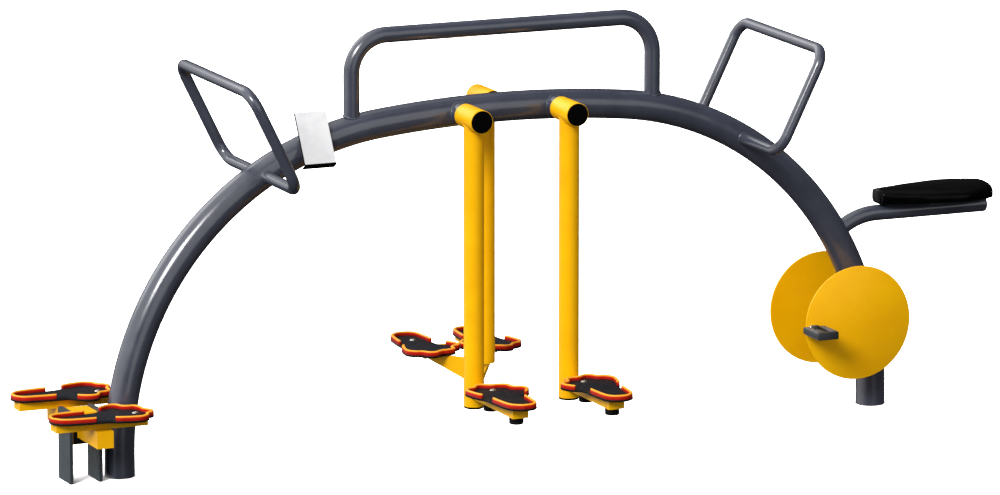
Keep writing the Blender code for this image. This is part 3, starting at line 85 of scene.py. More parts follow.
# Swing pivots and arms
FRONT_PIVOT_X = 0.154
STUB_RADIUS = 0.03175
STUB_END = 0.073
SLEEVE_RADIUS = 0.035
SLEEVE_START = 0.0755
SLEEVE_END = 0.200
SLEEVE_BORE = 0.026
SLEEVE_CAP_RADIUS = 0.0312
SLEEVE_CAP_DEPTH = 0.0045
ARM_RADIUS = 0.03015
ARM_REACH = 0.1375
ARM_BOTTOM_Z = 0.138
ARM_CAP = 0.006
REAR_ARM_BOTTOM_Z = 0.214
SKIN = 0.0003

# Saddle and its post
POST_RADIUS = 0.02415
POST_Z = 0.594
POST_LEVEL_X = 1.240
POST_BEND = 0.20
POST_PITCH = math.radians(40)
POST_END_X = 1.610
POST_PLUG = 0.006
SEAT_NOSE_X = 1.238
SEAT_LENGTH = 0.370
SEAT_WIDTH = 0.240
SEAT_BOTTOM_Z = 0.623
SEAT_EDGE_Z = 0.6595
SEAT_CROWN = 0.009
SEAT_END_ROUND = 0.012
SEAT_SIDE_POWER = 0.28
SEAT_EDGE_POWER = 0.55
SEAT_SMOOTHINGS = 9

# Crank and pedals
CRANK = np.array((1.120, 0.0, 0.286))
CRANK_TURN = math.radians(1.8)
HOUSING_RADIUS = 0.03805
HOUSING_BORE = 0.027
HOUSING_HALF = 0.055
DISC_RADIUS = 0.175
DISC_HALF = 0.0025
DISC_EDGE = 0.0012
DISC_Y = 0.1255
SPINDLE_REACH = 0.158
SPINDLE_RADIUS = 0.0071
SPINDLE_END = 0.1
COLLAR_RADIUS = 0.0122
COLLAR_LENGTH = 0.012
PEDAL_START = DISC_HALF + 0.014
PEDAL_WIDTH = 0.107
PEDAL_LENGTH = 0.070
PEDAL_HEIGHT = 0.024
PEDAL_WALL = 0.011
BARREL_RADIUS = 0.0085
TREAD_WIDTH = 0.0165
TREAD_SHARE = 0.36

# Foot pads, rubber bumpers and the rocker's hub
PAD_LENGTH = 0.315
PAD_WIDTH = 0.187
PAD_BASE = 0.007
PAD_SHRINK = 0.999
DECK_INSET = 0.0088
RIM_TOP = 0.021
RIM_WIDTH = 0.0095
RIM_INSET = 0.0006
RIM_CREST = 0.006
RIM_FOOT = PAD_BASE - 0.002
RIM_TOE_SHARE = 0.07
RIM_HEEL_SHARE = -0.10
TOE_BOLT_SHARE = 0.35
HEEL_BOLT_SHARE = -0.24
FRONT_PAD_Y = -0.375
TOE_BUMPER_Y = FRONT_PAD_Y + TOE_BOLT_SHARE * PAD_LENGTH
HEEL_BUMPER_Y = -0.4538
BUMPER_RADIUS = 0.0215
BUMPER_BOTTOM_Z = 0.1555
BUMPER_TOP_Z = 0.205
# Sizes of the dark skin round the rocker's hub, which is painted shade below its top plate
HUB_CENTRE = np.array((-1.348, 0, 0))
HUB_LENGTH = 0.0786
HUB_WIDTH = 0.0906
HUB_LOW_Z = 0.1177
HUB_HIGH_Z = 0.188
HUB_CHAMFER = 0.0015

# Directions
X_AXIS = np.array((1.0, 0.0, 0.0))
Y_AXIS = np.array((0.0, 1.0, 0.0))
Z_AXIS = np.array((0.0, 0.0, 1.0))
QUARTER = math.pi / 2


# Materials

def linear(colour):
    """An sRGB hex colour as a linear RGBA value."""
    channels = np.array([int(colour[start:start + 2], 16) for start in (1, 3, 5)]) / 255
    low = channels / 12.92
    high = ((channels + 0.055) / 1.055) ** 2.4
    return (*np.where(channels <= 0.04045, low, high).tolist(), 1.0)


def add(tree, kind, inputs=None, **settings):
    """Adds a node with its settings, and fills or links its inputs."""
    node = tree.nodes.new(kind)
    for key, value in settings.items():
        setattr(node, key, value)
    for key, value in (inputs or {}).items():
        if isinstance(value, bpy.types.NodeSocket):
            tree.links.new(value, node.inputs[key])
        else:
            node.inputs[key].default_value = value
    return node


def coordinates(tree):
    """The piece's own coordinates, in metres, which stay on it as it moves."""
    return add(tree, "ShaderNodeTexCoord").outputs["Object"]


def speckle(tree, size, detail=2.0):
    """A noise whose grains are about this many metres across."""
    inputs = {"Vector": coordinates(tree), "Scale": 1 / size, "Detail": detail}
    return add(tree, "ShaderNodeTexNoise", inputs).outputs["Fac"]


def between(tree, factor, first, second):
    """A colour that goes from the first hex value to the second over the factor's middle range."""
    ramp = add(tree, "ShaderNodeValToRGB", {"Fac": factor})
    ramp.color_ramp.elements[0].position = 0.35
    ramp.color_ramp.elements[1].position = 0.65
    ramp.color_ramp.elements[0].color = linear(first)
    ramp.color_ramp.elements[1].color = linear(second)
    return ramp.outputs["Color"]


def spread(tree, factor, low, high):
    """A number that goes from low to high over the factor's middle range."""
    inputs = {"Value": factor, "From Min": 0.3, "From Max": 0.7, "To Min": low, "To Max": high}
    return add(tree, "ShaderNodeMapRange", inputs).outputs["Result"]


def bump(tree, height, depth):
    """A surface ripple that is this many metres deep where the height pattern is full."""
    inputs = {"Height": height, "Distance": depth}
    return add(tree, "ShaderNodeBump", inputs).outputs["Normal"]


def material(name, shade, **constants):
    """A principled material: constants on the shader's own sockets, patterns linked by shade."""
    made = bpy.data.materials.new(name)
    made.use_nodes = True
    tree = made.node_tree
    shader = tree.nodes["Principled BSDF"]
    for key, value in constants.items():
        shader.inputs[key.replace("_", " ")].default_value = value
    for key, value in shade(tree).items():
        tree.links.new(value, shader.inputs[key])
    return made


def powder_coat(name, first, second, low, high, gloss):
    """Powder coating, baked on steel: an even colour, a soft sheen and a faint ripple.

    The real ripple is 1 to 3 mm wide; it is drawn 7 mm wide, so that it shows.
    """
    def shade(tree):
        return {
            "Base Color": between(tree, speckle(tree, 0.09, 3.0), first, second),
            "Roughness": spread(tree, speckle(tree, 0.03), low, high),
            "Normal": bump(tree, speckle(tree, 0.007), 0.00005),
        }
    return material(name, shade, Specular_IOR_Level=gloss)


def moulded_rubber(name, first, second, grain, depth, roughness):
    """Moulded rubber: dark, dull and finely grained, with no clear highlight.

    The real grain is 1 to 2 mm wide; it is drawn 3 to 5 mm wide, so that it shows.
    """
    def shade(tree):
        return {
            "Base Color": between(tree, speckle(tree, 0.02, 4.0), first, second),
            "Roughness": spread(tree, speckle(tree, 0.012), roughness - 0.08, roughness + 0.08),
            "Normal": bump(tree, speckle(tree, grain, 3.0), depth),
        }
    return material(name, shade, Specular_IOR_Level=0.12)


# Colours across the rim, from its outer foot over the crest to its inner foot.
# The dark red at both feet is painted shade, where the flanks meet the pad's base.
RIM_STOPS = (
    (0.00, "#7A0A02"), (0.06, "#B81605"), (0.13, "#D8480C"), (0.22, "#F2A428"),
    (0.78, "#F2A428"), (0.87, "#D8480C"), (0.94, "#B81605"), (1.00, "#7A0A02"),
)


def rim_rubber():
    """Pigmented polyurethane rubber, moulded round the pad: red flanks and an orange crest.

    The border between the two wanders by a fiftieth of the section, as a moulded colour does.
    """
    def shade(tree):
        uv = add(tree, "ShaderNodeTexCoord").outputs["UV"]
        across = add(tree, "ShaderNodeSeparateXYZ", {"Vector": uv}).outputs["X"]
        inputs = {0: speckle(tree, 0.03), 1: 0.5}
        wave = add(tree, "ShaderNodeMath", inputs, operation="SUBTRACT").outputs[0]
        drift = add(tree, "ShaderNodeMath", {0: wave, 1: 0.04}, operation="MULTIPLY").outputs[0]
        shifted = add(tree, "ShaderNodeMath", {0: across, 1: drift}, operation="ADD").outputs[0]
        ramp = add(tree, "ShaderNodeValToRGB", {"Fac": shifted})
        while len(ramp.color_ramp.elements) < len(RIM_STOPS):
            ramp.color_ramp.elements.new(0.5)
        for element, (position, colour) in zip(ramp.color_ramp.elements, RIM_STOPS):
            element.position = position
            element.color = linear(colour)
        return {
            "Base Color": ramp.outputs["Color"],
            "Roughness": spread(tree, speckle(tree, 0.015), 0.34, 0.5),
            "Normal": bump(tree, speckle(tree, 0.004, 3.0), 0.00015),
        }
    return material("moulded_polyurethane_rim", shade, Specular_IOR_Level=0.2)


def gloss_plastic():
    """Polypropylene from a polished injection mould: near black, with a narrow highlight."""
    def shade(tree):
        return {
            "Base Color": between(tree, speckle(tree, 0.05), "#020203", "#050506"),
            "Roughness": spread(tree, speckle(tree, 0.02), 0.12, 0.17),
            "Normal": bump(tree, speckle(tree, 0.018), 0.0001),
        }
    return material("moulded_polypropylene_saddle", shade, Specular_IOR_Level=0.06)


def nylon_plastic(name, first, second, level):
    """Moulded glass-filled nylon: dark and satin, with a faint mottle from the fibres."""
    def shade(tree):
        return {
            "Base Color": between(tree, speckle(tree, 0.008, 4.0), first, second),
            "Roughness": spread(tree, speckle(tree, 0.01), 0.42, 0.58),
            "Normal": bump(tree, speckle(tree, 0.003, 3.0), 0.0001),
        }
    return material(name, shade, Specular_IOR_Level=level)


def plated_steel(name, first, second, low, high):
    """Zinc-plated or turned steel: a bright grey metal whose spangle varies its gloss."""
    def shade(tree):
        return {
            "Base Color": between(tree, speckle(tree, 0.006, 3.0), first, second),
            "Roughness": spread(tree, speckle(tree, 0.004), low, high),
        }
    return material(name, shade, Metallic=1.0)


def lacquered_sheet():
    """Rolled aluminium sheet with a white lacquer: even and satin, with a very slight waviness."""
    def shade(tree):
        return {
            "Base Color": between(tree, speckle(tree, 0.04), "#DEDEE0", "#E6E6E7"),
            "Roughness": spread(tree, speckle(tree, 0.02), 0.3, 0.42),
            "Normal": bump(tree, speckle(tree, 0.03), 0.0002),
        }
    return material("lacquered_aluminium_sheet", shade, IOR=1.5)


GRAPHITE = powder_coat("graphite_powder_coat", "#393C48", "#404350", 0.17, 0.25, 0.85)
UPRIGHT_GREY = powder_coat("upright_powder_coat", "#2B3338", "#323A40", 0.42, 0.54, 0.4)
YELLOW = powder_coat("yellow_powder_coat", "#F0AE00", "#F4B600", 0.28, 0.36, 0.22)
RIM = rim_rubber()
DECK = moulded_rubber("grained_deck_rubber", "#0E1117", "#171B22", 0.005, 0.0006, 0.66)
BLACK_RUBBER = moulded_rubber("black_buffer_rubber", "#0A0A0B", "#111113", 0.003, 0.0002, 0.6)
SADDLE = gloss_plastic()
NYLON = nylon_plastic("black_nylon_cap", "#020203", "#050506", 0.03)
PEDAL_NYLON = nylon_plastic("grey_nylon_pedal", "#232527", "#2E3032", 0.4)
# The pedal's tread bars are a lighter grey than its block
TREAD_NYLON = nylon_plastic("light_grey_nylon_tread", "#45474A", "#5E6063", 0.5)
ZINC = plated_steel("zinc_plated_steel", "#B9B7AE", "#D6D3C8", 0.28, 0.42)
STEEL = plated_steel("turned_steel", "#8E8F92", "#A9AAAD", 0.22, 0.34)
SHEET = lacquered_sheet()
SLOTS = {
    "graphite_paint": GRAPHITE, "yellow_paint": YELLOW, "pad_rubber": DECK,
    "black_rubber": BLACK_RUBBER, "black_plastic": NYLON, "zinc_steel": ZINC,
    "bright_steel": STEEL, "sign_sheet": SHEET,
}


# Surfaces

def bend(centre, radius, start, end, steps):
    """Points of a bend in the arch's plane: centre + radius·(sin angle, cos angle)."""
    angle = np.linspace(start, end, steps)
    x = centre[0] + radius * np.sin(angle)
    return np.stack([x, 0 * angle, centre[1] + radius * np.cos(angle)], -1)


def circle(radius, columns=48):
    """A round section: radius·(cos angle, sin angle)."""
    angle = 2 * math.pi * np.arange(columns) / columns
    return radius * np.stack([np.cos(angle), np.sin(angle)], -1)


def unit(vectors):
    """Each vector divided by its own length."""
    return vectors / np.linalg.norm(vectors, axis=-1, keepdims=True)


def swept(path, section, reference, closed=False):
    """Carries a section along a path.

    Each point is path + across·u + up·v, where across is the path's direction crossed with the
    reference, up is square to both, and (u, v) is the section's point.
    """
    along = np.roll(path, -1, 0) - np.roll(path, 1, 0) if closed else np.gradient(path, axis=0)
    along = unit(along)
    across = unit(np.cross(along, reference))
    up = np.cross(across, along)
    section = np.broadcast_to(section, (len(path), *section.shape[-2:]))
    return path[:, None] + across[:, None] * section[..., :1] + up[:, None] * section[..., 1:]


def capped(path, section, reference, edge=0.001):
    """The swept surface with a small bevel at each end, and both ends closed on the path.

    At each end the section is shrunk by the edge's width, and its neighbour set back as far.
    """
    points = swept(path, section, reference)
    along = unit(np.stack([path[1] - path[0], path[-1] - path[-2]]))
    size = np.abs(section).max()
    first = path[0] + (points[0] - path[0]) * (1 - edge / size)
    last = path[-1] + (points[-1] - path[-1]) * (1 - edge / size)
    points[0] = points[0] + along[0] * edge
    points[-1] = points[-1] - along[1] * edge
    middle_first = np.broadcast_to(path[0], first.shape)
    middle_last = np.broadcast_to(path[-1], last.shape)
    return np.concatenate([middle_first[None], first[None], points, last[None], middle_last[None]])


def turned(profile, origin, axis, columns=48):
    """Turns (radius, height) points about an axis.

    A point is origin + axis·height + radius·(cos, sin of the angle) square to the axis.
    """
    axis = unit(np.asarray(axis, float))
    side = unit(np.cross(axis, X_AXIS if abs(axis[0]) < 0.9 else Z_AXIS))
    other = np.cross(axis, side)
    profile = np.asarray(profile, float)
    ring = circle(1.0, columns)
    spokes = ring[:, :1] * side + ring[:, 1:] * other
    return origin + axis * profile[:, 1, None, None] + profile[:, 0, None, None] * spokes


def bead(origin, axis, main, radius, main_radius, size=WELD, columns=96):
    """A weld bead where a round tube along axis meets a thicker tube along main.

    A point on the seam at this angle lies radius·(cos, sin) from the axis, at the height at which
    the thick tube's surface is that far out of its middle. The bead's own radius ripples round the
    seam, in fewer and wider waves than real ones, so that they show.
    """
    axis = unit(np.asarray(axis, float))
    main = unit(np.asarray(main, float) - axis * np.dot(main, axis))
    side = np.cross(axis, main)
    angle = 2 * math.pi * np.arange(columns) / columns
    off = radius * np.sin(angle)
    height = np.sqrt(np.maximum(main_radius**2 - off**2, 0))
    path = origin + radius * np.cos(angle)[:, None] * main
    path = path + off[:, None] * side + height[:, None] * axis
    waves = columns // 6
    ripple = size * (1 + 0.07 * np.sin(angle * waves))
    section = circle(1.0, 12)[None] * ripple[:, None, None]
    return swept(path, section, axis, closed=True)


def inward_directions(outline):
    """At each point of a clockwise outline, the direction square to its neighbours' chord."""
    chord = np.roll(outline, -1, 0) - np.roll(outline, 1, 0)
    return unit(np.stack([chord[:, 1], -chord[:, 0]], -1))


def plate(outline, rows):
    """A plate: each row is the outline pulled inwards by an inset and raised to a height."""
    inward = inward_directions(outline)
    rings = [np.column_stack([outline + inward * inset, np.full(len(outline), height)])
             for inset, height in rows]
    return np.stack(rings)


def filled(rings):
    """Closes the first and last ring of a plate on their middles."""
    first, last = (np.broadcast_to(ring.mean(0), ring.shape)[None] for ring in rings[[0, -1]])
    return np.concatenate([first, rings, last])


def ladder(ring):
    """A flat fill: each point is joined to the one that lies as far from the ring's other end."""
    half = (len(ring) + 1) // 2
    return np.stack([ring[:half], ring[::-1][:half]], 1)


def rounded_rectangle(width, height, corner, steps=8):
    """Corner points and quarter circles, clockwise, as (x, y)."""
    angle = np.linspace(0, QUARTER, steps)
    quarter = np.stack([np.sin(angle), np.cos(angle)], -1) * corner
    middles = np.array(((1, 1), (1, -1), (-1, -1), (-1, 1)))
    middles = middles * (width / 2 - corner, height / 2 - corner)
    clockwise = np.array(((0, -1), (1, 0)))
    corners = []
    for middle in middles:
        corners.append(middle + quarter)
        quarter = quarter @ clockwise
    return np.concatenate(corners)


def surface(points, ring=True, loop=False, finish=0):
    """A grid of points, whether its columns (ring) and rows (loop) close, and its material."""
    return points, ring, loop, finish


MERGE_DISTANCE = 0.000005
HERE = slice(None, -1)
NEXT = slice(1, None)
CORNERS = ((HERE, HERE), (HERE, NEXT), (NEXT, NEXT), (NEXT, HERE))


def grid_faces(rows, columns, ring, loop):
    """The grid's four-sided faces, and for each of their corners its share across and along."""
    index = np.arange(rows * columns).reshape(rows, columns)
    row, column = np.meshgrid(np.arange(rows + loop), np.arange(columns + ring), indexing="ij")
    index = index[row % rows, column % columns]
    share = np.stack([column / (columns - 1 + ring), row / (rows - 1 + loop)], -1)
    faces = np.stack([index[corner] for corner in CORNERS], -1).reshape(-1, 4)
    return faces, np.stack([share[corner] for corner in CORNERS], 2).reshape(-1, 2)


def make_piece(name, surfaces, materials, body, stands_for=(), sharp=32):
    """Puts grids of points into one mesh, closes its poles, and lets it ride on a body."""
    vertices = []
    faces = []
    uvs = []
    finishes = []
    start = 0
    for points, ring, loop, finish in surfaces:
        quads, shares = grid_faces(*points.shape[:2], ring, loop)
        faces.append(start + quads)
        uvs.append(shares)
        finishes.append(np.full(len(quads), finish))
        vertices.append(points.reshape(-1, 3))
        start += len(vertices[-1])
    places = np.concatenate(vertices) - PLAN_CENTRE
    mesh = bpy.data.meshes.new(name)
    mesh.from_pydata(places.tolist(), [], np.concatenate(faces).tolist())
    mesh.polygons.foreach_set("material_index", np.concatenate(finishes).astype(np.int32))
    layer = mesh.uv_layers.new(name="share")
    layer.uv.foreach_set("vector", np.concatenate(uvs).astype(np.float32).ravel())
    work = bmesh.new()
    work.from_mesh(mesh)
    bmesh.ops.remove_doubles(work, verts=work.verts, dist=MERGE_DISTANCE)
    bmesh.ops.recalc_face_normals(work, faces=work.faces)
    work.to_mesh(mesh)
    work.free()
    mesh.polygons.foreach_set("use_smooth", np.ones(len(mesh.polygons), bool))
    mesh.set_sharp_from_angle(angle=math.radians(sharp))
    for finish in materials:
        mesh.materials.append(finish)
    ob = bpy.data.objects.new(name, mesh)
    bpy.context.scene.collection.objects.link(ob)
    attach(ob, body)
    if stands_for:
        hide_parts(*stands_for)


# Frame

def arch_height(x):
    """Height of the arch's centre line at this distance from its middle."""
    x = abs(x)
    if x <= CROWN_RADIUS * math.sin(JOIN_ANGLE):
        return CROWN_CENTRE_Z + math.sqrt(CROWN_RADIUS**2 - x**2)
    return FOOT_HEIGHT + math.sqrt(SHOULDER_RADIUS**2 - (x - SHOULDER_X) ** 2)


def arch_direction(x):
    """Direction of the arch's centre line at this place, from the left to the right."""
    step = 0.001
    return unit(np.array((2 * step, 0, arch_height(x + step) - arch_height(x - step))))


def arch_path():
    """Foot, shoulder bend, crown bend, shoulder bend, foot."""
    foot = np.array(((-ARCH_HALF_SPAN, 0, 0), (-ARCH_HALF_SPAN, 0, FOOT_HEIGHT / 2)))
    left = bend((-SHOULDER_X, FOOT_HEIGHT), SHOULDER_RADIUS, -QUARTER, -JOIN_ANGLE, 60)
    crown = bend((0, CROWN_CENTRE_Z), CROWN_RADIUS, -JOIN_ANGLE, JOIN_ANGLE, 30)
    half = np.concatenate([foot, left])
    right = half[::-1] * (-1, 1, 1)
    return np.concatenate([half, crown[1:-1], right])


def rail_path():
    """Post, bend, level bar, bend, post; the posts end inside the arch."""
    foot = arch_height(RAIL_POST_X) + 0.02
    centre = (RAIL_POST_X - RAIL_BEND, RAIL_TOP_Z - RAIL_BEND)
    right = bend(centre, RAIL_BEND, 0, QUARTER, 20)
    right = np.concatenate([right, ((RAIL_POST_X, 0, foot),)])
    return np.concatenate([right[::-1] * (-1, 1, 1), right])


def loop_stand(side):
    """Where a loop stands on the arch's centre line, and the direction in which it leans."""
    base = np.array((side * LOOP_X, 0, arch_height(LOOP_X)))
    return base, np.array((side * math.sin(LOOP_LEAN), 0, math.cos(LOOP_LEAN)))


def loop_path(side):
    """A rounded rectangle standing on the arch's centre line and leaning outwards."""
    base, outward = loop_stand(side)
    shape = rounded_rectangle(LOOP_LENGTH, LOOP_HEIGHT, LOOP_CORNER, 14)
    return base + shape[:, :1] * Y_AXIS + (shape[:, 1:] + LOOP_HEIGHT / 2) * outward


def make_arch():
    """One bent tube from foot to foot."""
    tube = capped(arch_path(), circle(ARCH_RADIUS, 64), Y_AXIS, 0.0015)
    make_piece("arch", [surface(tube)], [GRAPHITE], "frame", ["arch_tube"])


def make_rail():
    """The bent rail with a weld bead round the foot of each post."""
    grids = [surface(capped(rail_path(), circle(RAIL_RADIUS), Y_AXIS))]
    for x in (-RAIL_POST_X, RAIL_POST_X):
        foot = np.array((x, 0, arch_height(x)))
        weld = bead(foot, Z_AXIS, arch_direction(x), RAIL_RADIUS, ARCH_RADIUS)
        grids.append(surface(weld, loop=True))
    make_piece("rail", grids, [GRAPHITE], "frame", ["handrail"])


def make_loop(side, name):
    """A closed hand loop with a weld bead where its lower bar leaves each side of the arch."""
    base, outward = loop_stand(side)
    plane = np.cross(Y_AXIS, outward)
    tube = swept(loop_path(side), circle(LOOP_RADIUS, 32), plane, closed=True)
    grids = [surface(tube, loop=True)]
    heading = arch_direction(side * LOOP_X)
    for way in (-1, 1):
        weld = bead(base, way * Y_AXIS, heading, LOOP_RADIUS, ARCH_RADIUS, THIN_WELD)
        grids.append(surface(weld, loop=True))
    make_piece(f"{name}_loop", grids, [GRAPHITE], "frame",
               [f"{name}_handle_loop"])


def make_saddle_post():
    """Out of the arch at a pitch, one bend, then level; a ribbed plug closes the rear end."""
    centre = (POST_LEVEL_X, POST_Z - POST_BEND)
    bow = bend(centre, POST_BEND, -POST_PITCH, 0, 16)
    pitch = np.array((math.cos(POST_PITCH), 0, math.sin(POST_PITCH)))
    start = bow[:1] - pitch * ARCH_RADIUS
    path = np.concatenate([start, bow, ((POST_END_X - 0.004, 0, POST_Z),)])
    grids = [surface(capped(path, circle(POST_RADIUS), Y_AXIS))]
    # The weld sits where the pitched line meets the arch's centre line
    height = bow[0, 2] - FOOT_HEIGHT
    leg_x = SHOULDER_X + math.sqrt(SHOULDER_RADIUS**2 - height**2)
    heading = unit(np.array((height, 0, SHOULDER_X - leg_x)))
    root = bow[0] - pitch * (bow[0, 0] - leg_x) / pitch[0]
    grids.append(surface(bead(root, pitch, heading, POST_RADIUS, ARCH_RADIUS), loop=True))
    end = np.array((POST_END_X, 0, POST_Z))
    rim = POST_RADIUS - 0.0006
    profile = [
        (0, -POST_PLUG), (rim, -POST_PLUG), (rim, -0.0015), (rim - 0.0015, 0), (0.017, 0),
        (0.016, -0.0008), (0.013, -0.0008), (0.012, 0), (0.008, 0), (0.007, -0.0008), (0, -0.0008),
    ]
    grids.append(surface(turned(profile, end, X_AXIS), finish=1))
    make_piece("saddle_post", grids, [GRAPHITE, BLACK_RUBBER], "frame",
               ["seat_post"])


# The saddle's half width at each share of its length, from the nose, as a share of its width
SADDLE_SHARES = (
    (0.000, 0.085), (0.020, 0.160), (0.070, 0.205), (0.190, 0.275), (0.345, 0.375),
    (0.525, 0.448), (0.680, 0.497), (0.810, 0.475), (0.920, 0.385), (0.978, 0.310), (1.000, 0.260),
)


def signed_power(values, power):
    """Each value's size raised to the power, with its own sign."""
    return np.sign(values) * np.abs(values) ** power


def make_saddle():
    """The saddle: a half width along its length, and a section like a rounded box.

    Across, the half width times cos(angle) to a low power; in height, the middle plus half the
    thickness times sin(angle) to a power, and on top the crown times one minus the squared share
    of the half width. Towards both ends width and height shrink by a square root of the distance.
    """
    shares = np.array(SADDLE_SHARES)
    fine = 0.004 * np.arange(1, 6)
    along = np.sort(np.concatenate([np.linspace(0, 1, 60), fine, 1 - fine]))
    half = SEAT_WIDTH * np.interp(along, shares[:, 0], shares[:, 1])
    kernel = np.array((0.25, 0.5, 0.25))
    for _ in range(SEAT_SMOOTHINGS):
        half[1:-1] = np.convolve(half, kernel, "valid")
    end = np.minimum(along, 1 - along) / SEAT_END_ROUND
    taper = 0.7 + 0.3 * np.sqrt(np.clip(end, 0, 1))[:, None]
    angle = 2 * math.pi * np.arange(64) / 64
    across = signed_power(np.cos(angle), SEAT_SIDE_POWER)[None]
    lift = signed_power(np.sin(angle), SEAT_EDGE_POWER)[None]
    crown = np.where(np.sin(angle) > 0, SEAT_CROWN, 0.0)[None] * (1 - across**2)
    middle = (SEAT_EDGE_Z + SEAT_BOTTOM_Z) / 2
    edge = (SEAT_EDGE_Z - SEAT_BOTTOM_Z) / 2
    y = half[:, None] * across * (0.6 + 0.4 * taper)
    z = middle + (edge * lift + crown) * taper
    x = np.broadcast_to((SEAT_NOSE_X + along * SEAT_LENGTH)[:, None], y.shape)
    shell = filled(np.stack([x, y, z], -1))
    make_piece("saddle", [surface(shell)], [SADDLE], "frame", ["seat_shell"], 60)


def make_sign():
    """The bare plate: a white face in a thin dark frame, a black strip below as painted shadow, on
    a round stub.
    """
    centre = np.array((SIGN_X, 0, arch_height(SIGN_X)))
    normal = np.array((0, -math.cos(SIGN_TILT), math.sin(SIGN_TILT)))
    up = np.cross(normal, X_AXIS)
    origin = centre + normal * SIGN_STANDOFF
    outline = rounded_rectangle(SIGN_WIDTH, SIGN_HEIGHT, 0.003) + (0, SIGN_RISE)
    rows = [(0.002, -SIGN_DEPTH), (0.0, -SIGN_DEPTH), (0.0, -0.0012), (0.0004, -0.0004)]
    edge = plate(outline, rows + [(SIGN_FRAME, 0.0)])
    sheet = filled(plate(outline, [(SIGN_FRAME, 0.0), (0.0026, 0.0), (0.0028, 0.0)]))[1:]
    # The black strip below the face is painted shadow: a dark bar where the plate's underside lies
    # in shade.
    shadow_strip = rounded_rectangle(SHADOW_STRIP_WIDTH, SHADOW_STRIP_HEIGHT, 0.0015) + SHADOW_STRIP_SHIFT
    rows = [(0.001, -SHADOW_STRIP_DEPTH), (0, 0.001 - SHADOW_STRIP_DEPTH), (0, -0.0016), (0.001, -0.0006)]
    grids = []
    for grid, finish in ((sheet, 0), (edge, 1), (filled(plate(shadow_strip, rows)), 1)):
        place = grid[..., :1] * X_AXIS + grid[..., 1:2] * up + grid[..., 2:] * normal
        grids.append(surface(origin + place, finish=finish))
    make_piece("sign", grids, [SHEET, NYLON], "frame", ["sign_plate"])
    radius = SIGN_STUB_RADIUS
    root = 0.03 - SIGN_STANDOFF
    back = 0.0002 - SIGN_DEPTH
    stub = turned([(0, root), (radius, root), (radius, back), (0, back)], origin, normal)
    weld = bead(centre, normal, arch_direction(SIGN_X), radius, ARCH_RADIUS, THIN_WELD)
    make_piece("sign_stub", [surface(stub), surface(weld, loop=True)], [GRAPHITE], "frame",
               ["sign_bracket"])


# Swings

def sleeve_profile():
    """The arm's sleeve: open mouth with a chamfered edge, straight barrel, plain inner end."""
    outer = SLEEVE_RADIUS + SKIN
    mouth = SLEEVE_CAP_RADIUS + SKIN
    return [
        (0, SLEEVE_END - 0.006), (mouth, SLEEVE_END - 0.006), (mouth, SLEEVE_END - 0.0006),
        (mouth + 0.0008, SLEEVE_END), (outer - 0.0014, SLEEVE_END),
        (outer - 0.0004, SLEEVE_END - 0.0004), (outer, SLEEVE_END - 0.0014),
        (outer, SLEEVE_START + 0.001), (outer - 0.001, SLEEVE_START),
        (SLEEVE_BORE, SLEEVE_START), (SLEEVE_BORE, SLEEVE_START + 0.001),
    ]


def make_swing_arm(name, pivot, way, bottom, body):
    """A smooth skin over the arm's sleeve and tube, with the weld between them."""
    tube_top = np.array((pivot[0], way * ARM_REACH, pivot[2]))
    path = np.linspace(tube_top - (0, 0, 0.01), np.array((*tube_top[:2], bottom)), 3)
    grids = [
        surface(turned(sleeve_profile(), pivot, way * Y_AXIS, 56)),
        surface(capped(path, circle(ARM_RADIUS + SKIN, 56), Y_AXIS, 0.0006)),
        surface(bead(tube_top, -Z_AXIS, Y_AXIS, ARM_RADIUS, SLEEVE_RADIUS, ARM_WELD), loop=True),
    ]
    make_piece(name, grids, [YELLOW], body)


def make_sleeve_cap(name, pivot, way, body, node):
    """The plastic cap in the sleeve's mouth: a thin bevel round a face that is barely domed."""
    radius = SLEEVE_CAP_RADIUS
    flange = SLEEVE_RADIUS - 0.0022
    share = np.linspace(0, 1, 8)[:-1]
    dome = [(flange * 0.88 * s, SLEEVE_END + 0.0020 - 0.0004 * s**2) for s in share]
    profile = [
        *dome, (flange * 0.92, SLEEVE_END + 0.0012), (flange - 0.0006, SLEEVE_END + 0.0010),
        (flange, SLEEVE_END + 0.0004), (flange, SLEEVE_END), (radius, SLEEVE_END),
        (radius, SLEEVE_END - SLEEVE_CAP_DEPTH), (0, SLEEVE_END - SLEEVE_CAP_DEPTH),
    ]
    cap = turned(profile, pivot, way * Y_AXIS, 56)
    make_piece(name, [surface(cap)], [NYLON], body, [node])


def make_stub(name, pivot, way, main, node):
    """The thick stub on the arch, with its weld bead and a small chamfer at its end."""
    radius = STUB_RADIUS
    profile = [
        (0, 0.02), (radius, 0.02), (radius, STUB_END - 0.0012), (radius - 0.0012, STUB_END),
        (0.0175, STUB_END), (0.0165, STUB_END - 0.001), (0, STUB_END - 0.001),
    ]
    weld = bead(pivot, way * Y_AXIS, main, radius, ARCH_RADIUS, STUB_WELD)
    grids = [surface(turned(profile, pivot, way * Y_AXIS)), surface(weld, loop=True)]
    make_piece(name, grids, [GRAPHITE], "frame", [node])


def make_tube_cap(name, x, body, node):
    """The round plastic cap that closes a front arm below, with a rounded lower edge."""
    radius = ARM_RADIUS + SKIN
    top = ARM_CAP - SKIN
    fillet = 0.003
    angle = np.linspace(0, QUARTER, 6)
    profile = [(0, top), (radius - 0.001, top), (radius, ARM_CAP - 0.001)]
    profile += [(radius - fillet + fillet * c, fillet - fillet * s)
                for s, c in zip(np.sin(angle), np.cos(angle))]
    cap = turned([*profile, (0, 0)], np.array((x, -ARM_REACH, ARM_BOTTOM_Z)), Z_AXIS)
    make_piece(name, [surface(cap)], [NYLON], body, [node])


